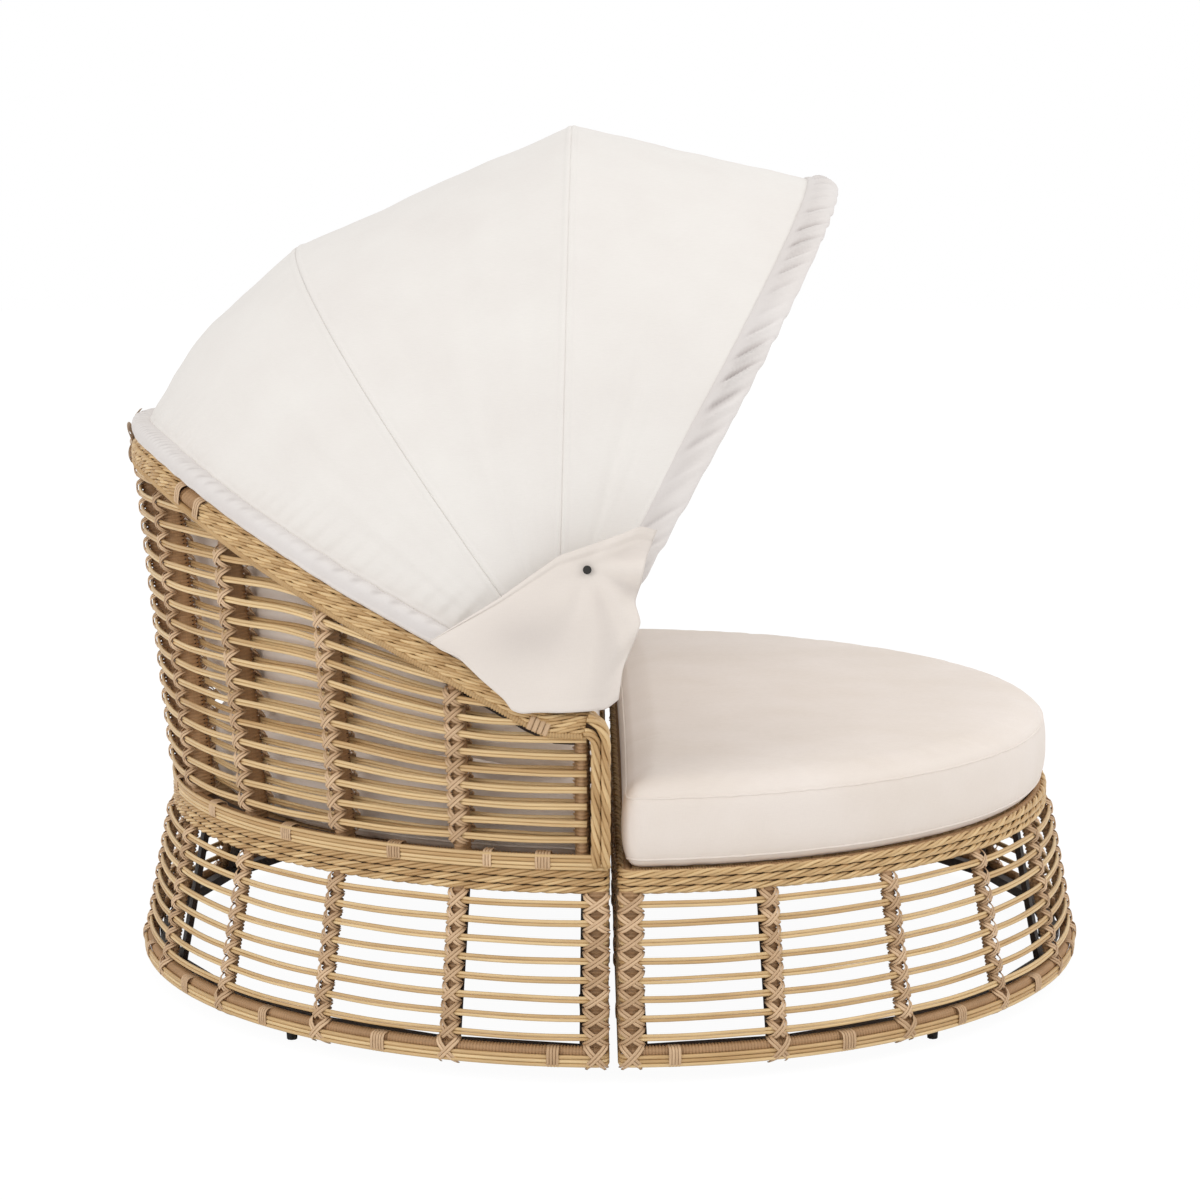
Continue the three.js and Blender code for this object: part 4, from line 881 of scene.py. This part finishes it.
def arch_point(bow, swing, lift):
    angle, reach, width = bow
    reach = (reach + lift) * np.cos(swing)
    y = (width + lift) * np.sin(swing)
    return HUB + np.stack([reach * math.cos(angle), y, reach * math.sin(angle)], -1)


def grid_normals(points, ring=False):
    across = np.roll(points, -1, 1) - np.roll(points, 1, 1) if ring else np.gradient(points, axis=1)
    return unit(np.cross(np.gradient(points, axis=0), across))


def cloth_sheet(name, points, material, ring=False, crease=None):
    """A closed thin sheet on a grid of points, with both faces and its edges. A ring is a sleeve. Painted
    shade can be stored on each point.
    """
    rows, columns = points.shape[:2]
    off = grid_normals(points, ring) * (CLOTH / 2)
    both = np.concatenate([(points + off).reshape(-1, 3), (points - off).reshape(-1, 3)])
    faces = grid_faces(rows, columns, ring)
    n = rows * columns
    index = np.arange(n).reshape(rows, columns)
    if ring:
        edges = [np.append(index[0], index[0, 0])[::-1], np.append(index[-1], index[-1, 0])]
    else:
        edges = [np.concatenate([index[0, ::-1], index[1:, 0], index[-1, 1:], index[-2::-1, -1]])]
    sides = [np.stack([loop[:-1], loop[1:], loop[1:] + n, loop[:-1] + n], 1) for loop in edges]
    faces = np.concatenate([faces, faces[:, ::-1] + n, *sides])
    piece = shown_object(name, seat_place(both), faces, material)
    if crease is not None:
        set_values(piece.data, "crease", np.tile(np.clip(crease, 0, 1).ravel(), 2))
    return piece


def gore(name, low_edge, high_edge, at_rim=False):
    """One panel of the canopy, ruled from edge to edge, with a stitched fold along each bow.
    The one at the rim bellies out and is gathered along its foot."""
    rows = len(low_edge)
    wide = np.linalg.norm(high_edge - low_edge, axis=1)[:, None]
    fold = FOLD_LINES / wide
    between = fold[:, -1:] + (1 - 2 * fold[:, -1:]) * np.linspace(0, 1, 26)[1:-1]
    share = np.concatenate([fold, between, 1 - fold[:, ::-1]], 1)
    points = low_edge[:, None] * (1 - share[..., None]) + high_edge[:, None] * share[..., None]
    normals = grid_normals(points)
    normals = normals * np.sign(((points - HUB) * normals).sum(-1).mean())
    along = np.linspace(0, 1, rows)[:, None]
    reach = np.minimum(share, 1 - share) * wide
    stitched = -0.0017 * bell(reach, 0, 0.0020) - 0.0005 * bell(reach, 0.012, 0.0020)
    stitched += 0.0010 * bell(reach, 0.006, 0.005)
    ends = 0.35 + 0.65 * (1 - np.sin(math.pi * along))
    phase = random.random(6) * 6.28
    waves = 0.0024 * np.sin(share * 9 + 7 * along + phase[0]) * np.sin(along * 5.0 + phase[1])
    waves += 0.0016 * np.sin(share * 23 + 3 * np.sin(along * 9 + phase[2]) + phase[3]) * ends
    waves += 0.0011 * np.sin(share * 41 - along * 13 + phase[4]) * ends
    pull = 0.0014 * np.sin(along * 150 + 4 * np.sin(along * 21 + phase[5]))
    pull = pull * np.exp(-reach / 0.03) * smooth(reach, 0.010, 0.018)
    if at_rim:
        foot = share * wide
        folds = pleats(along * 2.4 + 0.3 * foot, 0.0300, 0.5)
        pull = pull + 0.0050 * folds * np.exp(-foot / 0.034) * smooth(foot, 0.006, 0.030)
        belly = 0.034 * np.sin(math.pi * share) * np.sin(math.pi * along)
        points = points + outwards(ROLL_END + (math.pi - 2 * ROLL_END) * along) * belly[..., None]
    points = points + normals * (stitched + waves * smooth(reach, 0.02, 0.10) + pull)[..., None]
    piece = cloth_sheet(name, points, CANOPY)
    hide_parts(name.replace("_cloth", ""))
    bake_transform(piece)


def canopy():
    fine, coarse = np.linspace(0, 1, 561), np.linspace(0, 1, 141)
    turn = ROLL_END + (math.pi - 2 * ROLL_END) * fine
    roll_top = rim_top_at(turn) + ROLL_LIFT + ROLL_FLAT
    hung = polar(middle_radius_at(roll_top) - 0.0088, turn, roll_top + 0.0004)

    def on_bow(bow, share):
        return arch_point(bow, SWING * (2 * share - 1), FABRIC_LIFT + 0.001)

    rear, middle, front = (on_bow(bow, coarse) for bow in (REAR_BOW, MIDDLE_BOW, FRONT_BOW))
    gore("canopy_rear_gore_cloth", hung, on_bow(REAR_BOW, fine), True)
    gore("canopy_middle_gore_cloth", rear, middle)
    gore("canopy_front_gore_cloth", middle, front)


def front_hem():
    """The gathered front edge: a flattened sleeve with slanting puckers and a scalloped rim."""
    swing = np.linspace(-SWING, SWING, 860)
    edge = arch_point(FRONT_BOW, swing, FABRIC_LIFT)
    forward = np.array([math.cos(HEM_TILT), 0, math.sin(HEM_TILT)])
    across = unit(np.cross(forward, np.gradient(edge, axis=0)))
    across *= np.sign((across * (edge - HUB)).sum(1))[:, None]
    run = run_along(edge)[:, None]
    c, s = circle(44)
    # The sleeve is flatter and narrower near the hubs, where the middle bow folds past it
    full = smooth(np.cos(swing), 0.17, 0.50)[:, None]
    ahead = 0.0240 - 0.0050 * full - (0.0240 + 0.0050 * full) * c
    lean = np.abs(run - run[-1] / 2) + ahead * 1.5
    folds = pleats(lean, 0.0540, 0.4) + 0.35 * pleats(lean * 1.13 + 0.01, 0.031, 2.1)
    folds = folds * smooth(ahead, -0.008, 0.010) * (1 - 0.7 * smooth(ahead, 0.024, 0.046))
    # Painted shade: darker in the hollows of the folds and towards the seam.
    crease = 0.40 * np.clip(-folds, 0, 1.2) ** 1.3 + 0.16 * (1 - smooth(ahead, 0.004, 0.036))
    ahead = ahead * (1 + 0.034 * pleats(run + 0.02, 0.062, 1.9))
    raised = folds * np.abs(s) ** 0.5 * smooth(ahead, 0.0, 0.010)
    fat = 0.0068 * (0.4 + 0.6 * full) * boxy(s, 0.8) + (0.0062 * raised + 0.0016 * (s > 0)) * full
    points = edge[:, None] + forward * (0.0003 + ahead)[..., None] + across[:, None] * fat[..., None]
    piece = cloth_sheet("front_hem_cloth", points, SHADED_GATHERED, True, crease)
    rides(piece, "front_bow", "canopy_cloth", "front_hem")


def rear_roll():
    """The rear edge, gathered over its cord and seated on the back rim, most densely at the back."""
    turn = np.linspace(ROLL_END, math.pi - ROLL_END, 800)
    z = rim_top_at(turn) + ROLL_LIFT
    centre = polar(middle_radius_at(z), turn, z)
    run = run_along(centre)[:, None]
    angle = np.linspace(0, 2 * math.pi, 36, endpoint=False)
    c, s = np.cos(angle), np.sin(angle)
    back = bell(turn[:, None], math.pi / 2, 0.55)
    soft_folds = pleats(run + 0.016 * s, 0.034, 1.3)
    dense_folds = pleats(run + 0.020 * s, 0.0150, 0.3)
    size = 1 + 0.055 * pleats(run + 0.012 * s, 0.062, 0.9) + 0.030 * np.sin(run / 0.09 + 2 * angle)
    size += (0.09 * soft_folds * (1 - back) + 0.11 * dense_folds * back) * bell(angle, 1.20, 0.55)
    size += 0.20 * bell(angle, 0.8, 0.7) - 0.05 * bell(angle, 1.97, 0.28)
    # Painted shade: darker in the hollows of the puckers and along the outer face.
    strokes = np.clip(-soft_folds, 0, 1) * (1 - back) * 0.6 + np.clip(-dense_folds, 0, 1) * back
    crease = (0.50 + 0.30 * back) * strokes * bell(angle, 1.10, 0.42) + 0.12 * bell(angle, 0.1, 0.6)
    wide = 0.0232 * boxy(c, 0.80) * size
    tall = np.where(s > 0, 0.0205 * size, 0.0158) * boxy(s, 0.80)
    points = centre[:, None] + outwards(turn)[:, None] * wide[..., None] + UP * tall[..., None]
    piece = cloth_sheet("rear_hem_roll_cloth", points, SHADED_GATHERED, True, crease)
    rides(piece, "seat_half", "canopy_cloth", "rear_hem_roll")


# Outline of the flap in shares of its box: top edge, bottom edge and the loose edge between them
COVER_TOP = [(0, 0.41), (0.17, 0.53), (0.34, 0.65), (0.63, 0.885), (0.80, 0.95), (0.92, 1.0)]
COVER_TOP += [(1.03, 1.05), (1.109, 1.02)]
COVER_BOTTOM = [(0, 0.41), (0.06, 0.36), (0.138, 0.325), (0.25, 0.20), (0.367, 0.086), (0.40, 0.03)]
COVER_BOTTOM += [(0.445, 0.012), (0.528, 0.020), (0.642, 0.018), (0.78, 0.024), (0.86, 0.032), (0.92, 0.09)]
COVER_SIDE = [(0.92, 0.09), (0.94, 0.25), (0.99, 0.395), (1.03, 0.52), (1.0, 0.62), (1.03, 0.724)]
COVER_SIDE += [(1.05, 0.85), (1.109, 1.02)]
COVER_CORNER, COVER_SIZE = (-0.298, HUB[2] - 0.060), (0.332, 0.290)
COVER_Y = 0.8295
BOLT_X, BOLT_Z = -0.043, 0.8425


def walked(corners, count):
    corners = np.array(corners, float)
    run = run_along(corners)
    return relaxed(resampled(corners, run, np.linspace(0, run[-1], count)), 2)


def hub_cover(side):
    """The loose cloth over the fold's hub: folded top edge, pleats that run out from its bolt."""
    columns, rows = 90, 64
    top, bottom, edge = walked(COVER_TOP, columns), walked(COVER_BOTTOM, columns), walked(COVER_SIDE, rows)
    u = np.linspace(0, 1, columns)[None]
    v = np.linspace(0, 1, rows)[:, None]
    corner_line = bottom[-1] * (1 - v) + top[-1] * v
    flat = bottom[None] * (1 - v[..., None]) + top[None] * v[..., None]
    flat = flat + u[..., None] * (edge - corner_line)[:, None]
    x = COVER_CORNER[0] + COVER_SIZE[0] * flat[..., 0]
    z = COVER_CORNER[1] + COVER_SIZE[1] * flat[..., 1]
    from_bolt = np.hypot(x - BOLT_X, z - BOLT_Z)
    bearing = np.arctan2(z - BOLT_Z, x - BOLT_X)
    belly = 0.0085 * np.sin(math.pi * v) ** 0.8 * np.sin(math.pi * u) ** 0.7
    creases = np.sin(bearing * 8.0 + 1.1 + from_bolt * 12)
    creases = creases * smooth(u, 0.55, 1.0) * smooth(from_bolt, 0.010, 0.060)
    folds = 0.0030 * np.sin(bearing * 5.0 + from_bolt * 18) * smooth(from_bolt, 0.03, 0.16) * (1 - 0.6 * v)
    curl = 0.009 * smooth(u, 0.90, 1.0) * np.sin(v * 17.0 + 0.6)
    hem = 0.0016 * smooth(v, 0.935, 0.950) - 0.0014 * bell(v, 0.93, 0.012)
    hem = hem + 0.0012 * (1 - smooth(v, 0.045, 0.06))
    dimple = -0.0040 * bell(from_bolt, 0, 0.022)
    out = COVER_Y + 0.0030 + math.tan(math.radians(7.2)) * (BOLT_Z - z)
    out = out + belly * smooth(from_bolt, 0.0, 0.09) + 0.0046 * creases + folds + curl + hem + dimple
    points = np.stack([x, out if side == "far" else -out, z], -1)
    # Painted shadow of the hub behind the cloth, and painted shade in the hollows of the creases.
    shaded = 0.22 * bell(x, -0.135, 0.075) * bell(z, 0.735, 0.045)
    crease = shaded + 0.14 * np.clip(-creases, 0, 1) * smooth(from_bolt, 0.02, 0.06)
    piece = cloth_sheet(f"hub_cover_{side}_cloth", points, COVER, crease=crease)
    rides(piece, "seat_half", "canopy_cloth", f"hub_cover_{side}")


def ribbon():
    """The bow of ribbon that ties the roll to the back rim. Corners give the way out, across and up."""
    strips = Strands()
    z0 = 0.990
    x0 = -(wall_radius_at(z0) + 0.0062)

    def strip(corners, twist=0.0):
        at = np.linspace(0, 1, 40)
        line = relaxed(resampled(np.array(corners, float), np.linspace(0, 1, len(corners)), at), 12)
        spin = twist * np.sin(at * math.pi * 2)
        up = np.stack([-np.cos(spin), np.sin(spin), 0 * spin], 1)
        place = np.stack([x0 - line[:, 0], line[:, 1], z0 + line[:, 2]], 1)
        strips.add(place, 0.0072, 0.0007, up, tone=0.5, square=0.7)

    loop = [(0.002, 0, 0), (0.005, 0.012, 0.010), (0.008, 0.030, 0.022), (0.007, 0.038, 0.010)]
    loop += [(0.003, 0.030, -0.006), (0.001, 0.012, -0.004), (0.003, 0, 0)]
    tail = [(0.003, 0.002, 0), (0.006, 0.010, -0.012), (0.005, 0.020, -0.030), (0.004, 0.024, -0.052)]
    tie = [(0.001, 0.004, 0.004), (0.001, 0.008, 0.020), (-0.002, 0.008, 0.036), (-0.012, 0.008, 0.048)]
    for way in (-1, 1):
        for corners, twist in ((loop, 0.5), (tail, 0.8 * way), (tie, 0.0)):
            strip([(out, across * way, rise) for out, across, rise in corners], twist)
    strip([(0.004, -0.007, 0.001), (0.007, -0.003, 0.003), (0.007, 0.003, 0.002), (0.004, 0.007, 0)])
    piece = strips.build("rear_tie_ribbon", seat_place, RIBBON)
    rides(piece, "seat_half", "ribbon_cloth", "rear_tie")


canopy()
front_hem()
rear_roll()
hub_cover("near")
hub_cover("far")
ribbon()

# Cushions

VOXEL = 0.009
FILL_FRAMES = 20
PAD_FACE = 0.003
# How far the pad's side lies inside its outline, and at which height
PAD_SIDE = [(0.020, 0.000), (0.010, 0.010), (0.003, 0.028), (0.000, 0.050), (0.000, 0.075), (0.001, 0.098)]
PAD_SIDE += [(0.004, 0.115), (0.009, 0.126), (0.017, 0.1325), (0.030, 0.136)]
# How far a pillow's outline, its middle, its filled back and its seam keep from the wall's outer face
PILLOW_SETBACK = 0.0594
PILLOW_MIDDLE = PILLOW_SETBACK + 0.0690
PILLOW_BACK = 0.0625
PILLOW_SEAM = 0.1284
PILLOW_START = math.asin(0.045 / (wall_radius_at(PILLOW_BOTTOM_Z) - PILLOW_SETBACK))
PILLOW_GAP = math.radians(1.2)
PILLOW_TURN = (math.pi - 2 * PILLOW_START - 2 * PILLOW_GAP) / 3


def closed_form(name, rings, place):
    """A closed mesh from rings of points, each end drawn together at its middle."""
    points = np.array(rings)
    first, last = points[0].mean(0), points[-1].mean(0)
    first, last = first + (points[0] - first) * 0.01, last + (points[-1] - last) * 0.01
    points = np.concatenate([[first], points, [last]])
    return shown_object(name, place(points.reshape(-1, 3)), grid_faces(*points.shape[:2], True), CUSHION)


def points_of(mesh):
    points = np.empty(len(mesh.vertices) * 3, np.float32)
    mesh.vertices.foreach_get("co", points)
    return points.reshape(-1, 3)


def apply_modifier(piece, name):
    with bpy.context.temp_override(object=piece, active_object=piece):
        bpy.ops.object.modifier_apply(modifier=name)


def filled(piece, cap, hold):
    """Fills a pad: cloth under pressure, each point held to a short way, then kept in its space by hold."""
    scene = bpy.context.scene
    bpy.context.view_layer.objects.active = piece
    remesh = piece.modifiers.new("remesh", "REMESH")
    remesh.mode = "VOXEL"
    remesh.voxel_size = VOXEL
    apply_modifier(piece, "remesh")
    start = points_of(piece.data)
    cloth = piece.modifiers.new("fill", "CLOTH")
    cloth.settings.use_pressure = True
    cloth.settings.uniform_pressure_force = 4.0
    cloth.settings.effector_weights.gravity = 0.0
    cloth.settings.quality = 4
    cloth.point_cache.frame_start = 1
    cloth.point_cache.frame_end = FILL_FRAMES
    for step in range(1, FILL_FRAMES + 1):
        scene.frame_set(step)
    move = points_of(piece.evaluated_get(bpy.context.evaluated_depsgraph_get()).to_mesh()) - start
    length = np.linalg.norm(move, axis=1, keepdims=True)
    piece.modifiers.remove(cloth)
    scene.frame_set(1)
    finished = hold(start + move * np.minimum(1, cap / np.maximum(length, 1e-9)))
    piece.data.vertices.foreach_set("co", finished.astype(np.float32).ravel())
    piece.modifiers.new("finer", "SUBSURF").levels = 1
    apply_modifier(piece, "finer")
    piece.data.polygons.foreach_set("use_smooth", np.ones(len(piece.data.polygons), bool))
    piece.data.update()


def seam(name, piece, body, path, radius):
    """A line of stitching drawn onto the surface of a pad."""
    faces = [tuple(face.vertices) for face in piece.data.polygons]
    tree = BVHTree.FromPolygons(points_of(piece.data).tolist(), faces)
    spots, normals = zip(*(tree.find_nearest(Vector(point))[:2] for point in path))
    line = Strands()
    line.add(np.array(spots), radius, radius * 0.8, np.array(normals), closed=True, tone=0.5)
    rides(line.build(name, lambda points: points, CUSHION), body, "cushion_cloth")


def half_moon_pad(name, body, radius, place):
    """A box cushion of half-moon plan, its straight side drawn in between the corners."""
    outline, out = half_moon(radius - 0.006, 0.0, PAD_FACE + 0.002, CUSHION_CORNER, step=0.018)
    middle = outline.mean(0)
    draw = 0.004 * (1 - (outline[:, 1] / radius) ** 2) * (out[:, 0] > 0.99)
    outline = outline - out * draw[:, None]
    bottom = BASE_TOP_Z + 0.0003
    shares = (0.25, 0.5, 0.75, 0.9)
    rings = [lifted(middle + (outline - middle) * share, bottom + 0.001) for share in shares]
    rings += [lifted(outline - out * inset, bottom + rise) for inset, rise in PAD_SIDE]
    for share in (0.94, 0.88, 0.80, 0.70, 0.55, 0.40, 0.25, 0.12):
        crown = 0.1365 + CUSHION_CROWN * (1 - share**2.2)
        rings.append(lifted(middle + (outline - out * 0.03 - middle) * share, bottom + crown))
    piece = closed_form(name, rings, place)

    def hold(points):
        points = points.copy()
        most_z = BASE_TOP_Z + CUSHION_HEIGHT + CUSHION_CROWN
        points[:, 2] = np.clip(points[:, 2], BASE_TOP_Z + 0.0004, most_z)
        if place is seat_place:
            points[:, 0] = np.minimum(points[:, 0], ROW_SHIFT - PAD_FACE)
        else:
            points[:, 0] = np.maximum(points[:, 0], ROW_SHIFT + PAD_FACE)
        return points

    filled(piece, 0.010, hold)
    rides(piece, body, "cushion_cloth", name.replace("_pad", ""))
    for label, rise in (("top", 0.1290), ("bottom", 0.0060)):
        path = place(lifted(outline + out * 0.004, bottom + rise))
        seam(f"{name}_{label}_seam", piece, body, path, 0.0021)


def pillow(name, first, last):
    """A back pillow bent round the wall, as tall as the rim lets it be."""
    rings = []
    cosines, sines = circle(44)
    c, s = boxy(cosines, 0.75), boxy(sines, 0.62)
    pull = 1 - 0.55 * np.abs(s) ** 3
    for share in np.arange(47) / 46:
        turn = first + (last - first) * (0.006 + 0.988 * share)
        ends = min(share, 1 - share) * (last - first) * 0.72
        full = max(min(1.0, ends / 0.13) ** 0.45, 0.16)
        thick = (PILLOW_THICKNESS - 0.012) * full
        low = PILLOW_BOTTOM_Z + 0.003 + 0.004 * (1 - full)
        top = float(rim_top_at(turn)) - 0.026 - 0.006 - 0.022 * (1 - full)
        z = (low + top) / 2 + s * (top - low) / 2
        middle = wall_radius_at(z) - PILLOW_MIDDLE
        rings.append(polar(middle + c * pull * thick / 2, turn, z))
    piece = closed_form(name, rings, seat_place)

    def hold(points):
        points = points.copy()
        raw = points - [ROW_SHIFT, 0, 0]
        most = wall_radius_at(points[:, 2]) - PILLOW_BACK
        points[:, 2] = np.maximum(points[:, 2], PILLOW_BOTTOM_Z + 0.0002)
        scale = np.minimum(1, most / np.hypot(raw[:, 0], raw[:, 1]))
        points[:, 0] = raw[:, 0] * scale + ROW_SHIFT
        points[:, 1] = raw[:, 1] * scale
        return points

    filled(piece, 0.012, hold)
    rides(piece, "seat_half", "cushion_cloth", name.replace("_pad", ""))
    turn = first + (last - first) * (0.01 + 0.98 * np.linspace(0, 1, 60))
    top_z = rim_top_at(turn) - 0.028
    low_z = np.full(60, PILLOW_BOTTOM_Z + 0.004)
    path = [polar(wall_radius_at(z) - PILLOW_SEAM, t, z) for t, z in ((turn, top_z), (turn[::-1], low_z))]
    seam(f"{name}_seam", piece, "seat_half", seat_place(np.concatenate(path)), 0.0022)


half_moon_pad("seat_cushion_pad", "seat_half", 0.7736, seat_place)
half_moon_pad("ottoman_cushion_pad", "ottoman", 0.851, ottoman_place)
for i, name in enumerate(("near", "back", "far")):
    first = PILLOW_START + i * (PILLOW_TURN + PILLOW_GAP)
    pillow(f"back_pillow_{name}_pad", first, first + PILLOW_TURN)

# Camera, light and floor

FOCAL_PIXELS, PHOTO_PIXELS, YAW, PITCH = 2705.3, 1200, 0.0043, 0.1471
EYE = (-0.0409 + ROW_SHIFT, -5.1577, 1.4332)
# Name, place, target, size and power of each lamp
LAMPS = [
    ("key", (3.8, -1.5, 3.5), (0.4, 0, 0.5), (3.0, 2.6), 42),
    ("side", (-4.2, -4.4, 3.4), (0, 0, 0.8), (3.2, 2.8), 86),
    ("top", (1.3, -0.4, 4.8), (0.5, 0, 0.5), (4.0, 4.0), 20),
    ("under canopy", (0.25, 0, 1.36), (0.12, 0, 0.5), (0.5, 1.0), 1.6),
]


def studio():
    """The photograph's fitted camera, soft lamps, a white surrounding and a floor that stays pale."""
    scene = bpy.context.scene
    scene.view_settings.view_transform = "Standard"
    data = bpy.data.cameras.new("camera")
    data.sensor_width = 36.0
    data.lens = data.sensor_width * FOCAL_PIXELS / PHOTO_PIXELS
    data.clip_end = 60.0
    camera = bpy.data.objects.new("camera", data)
    ahead = Vector((math.sin(YAW) * math.cos(PITCH), math.cos(YAW) * math.cos(PITCH), -math.sin(PITCH)))
    right = Vector((math.cos(YAW), -math.sin(YAW), 0))
    turn = Matrix((right, right.cross(ahead), -ahead)).transposed().to_4x4()
    camera.matrix_world = Matrix.Translation(EYE) @ turn
    scene.collection.objects.link(camera)
    scene.camera = camera

    for name, place, target, size, power in LAMPS:
        lamp = bpy.data.lights.new(name, "AREA")
        lamp.shape = "RECTANGLE"
        lamp.size, lamp.size_y = size
        lamp.energy = power
        box = bpy.data.objects.new(name, lamp)
        box.location = place
        box.rotation_euler = (Vector(target) - Vector(place)).to_track_quat("-Z", "Y").to_euler()
        scene.collection.objects.link(box)

    world = Nodes(bpy.data.worlds.new("studio"))
    scene.world = world.owner
    seen = world.tree.nodes["Background"]
    world.feed(seen.inputs["Color"], (1, 1, 1, 1))
    world.feed(seen.inputs["Strength"], 1.0)
    fill = world.node("ShaderNodeBackground", Color=(1, 1, 1, 1), Strength=0.78)
    rays = world.node("ShaderNodeLightPath").outputs
    shown = world.maths("MAXIMUM", rays["Is Camera Ray"], rays["Is Transmission Ray"])
    world.show("World Output", shown, fill.outputs[0], seen.outputs[0])

    mesh = bpy.data.meshes.new("floor")
    mesh.from_pydata([(-30, -30, 0), (30, -30, 0), (30, 30, 0), (-30, 30, 0)], [], [(0, 1, 2, 3)])
    floor = bpy.data.objects.new("floor", mesh)
    scene.collection.objects.link(floor)
    pale = Nodes(bpy.data.materials.new("floor"))
    pale.shade(Base_Color=(0.9, 0.9, 0.9, 1), Roughness=0.9)
    glow = pale.node("ShaderNodeEmission", Strength=1.06)
    shown = pale.maths("MULTIPLY", pale.node("ShaderNodeLightPath").outputs["Is Camera Ray"], 0.9)
    pale.show("Material Output", shown, pale.shader.outputs[0], glow.outputs[0])
    mesh.materials.append(pale.owner)


studio()
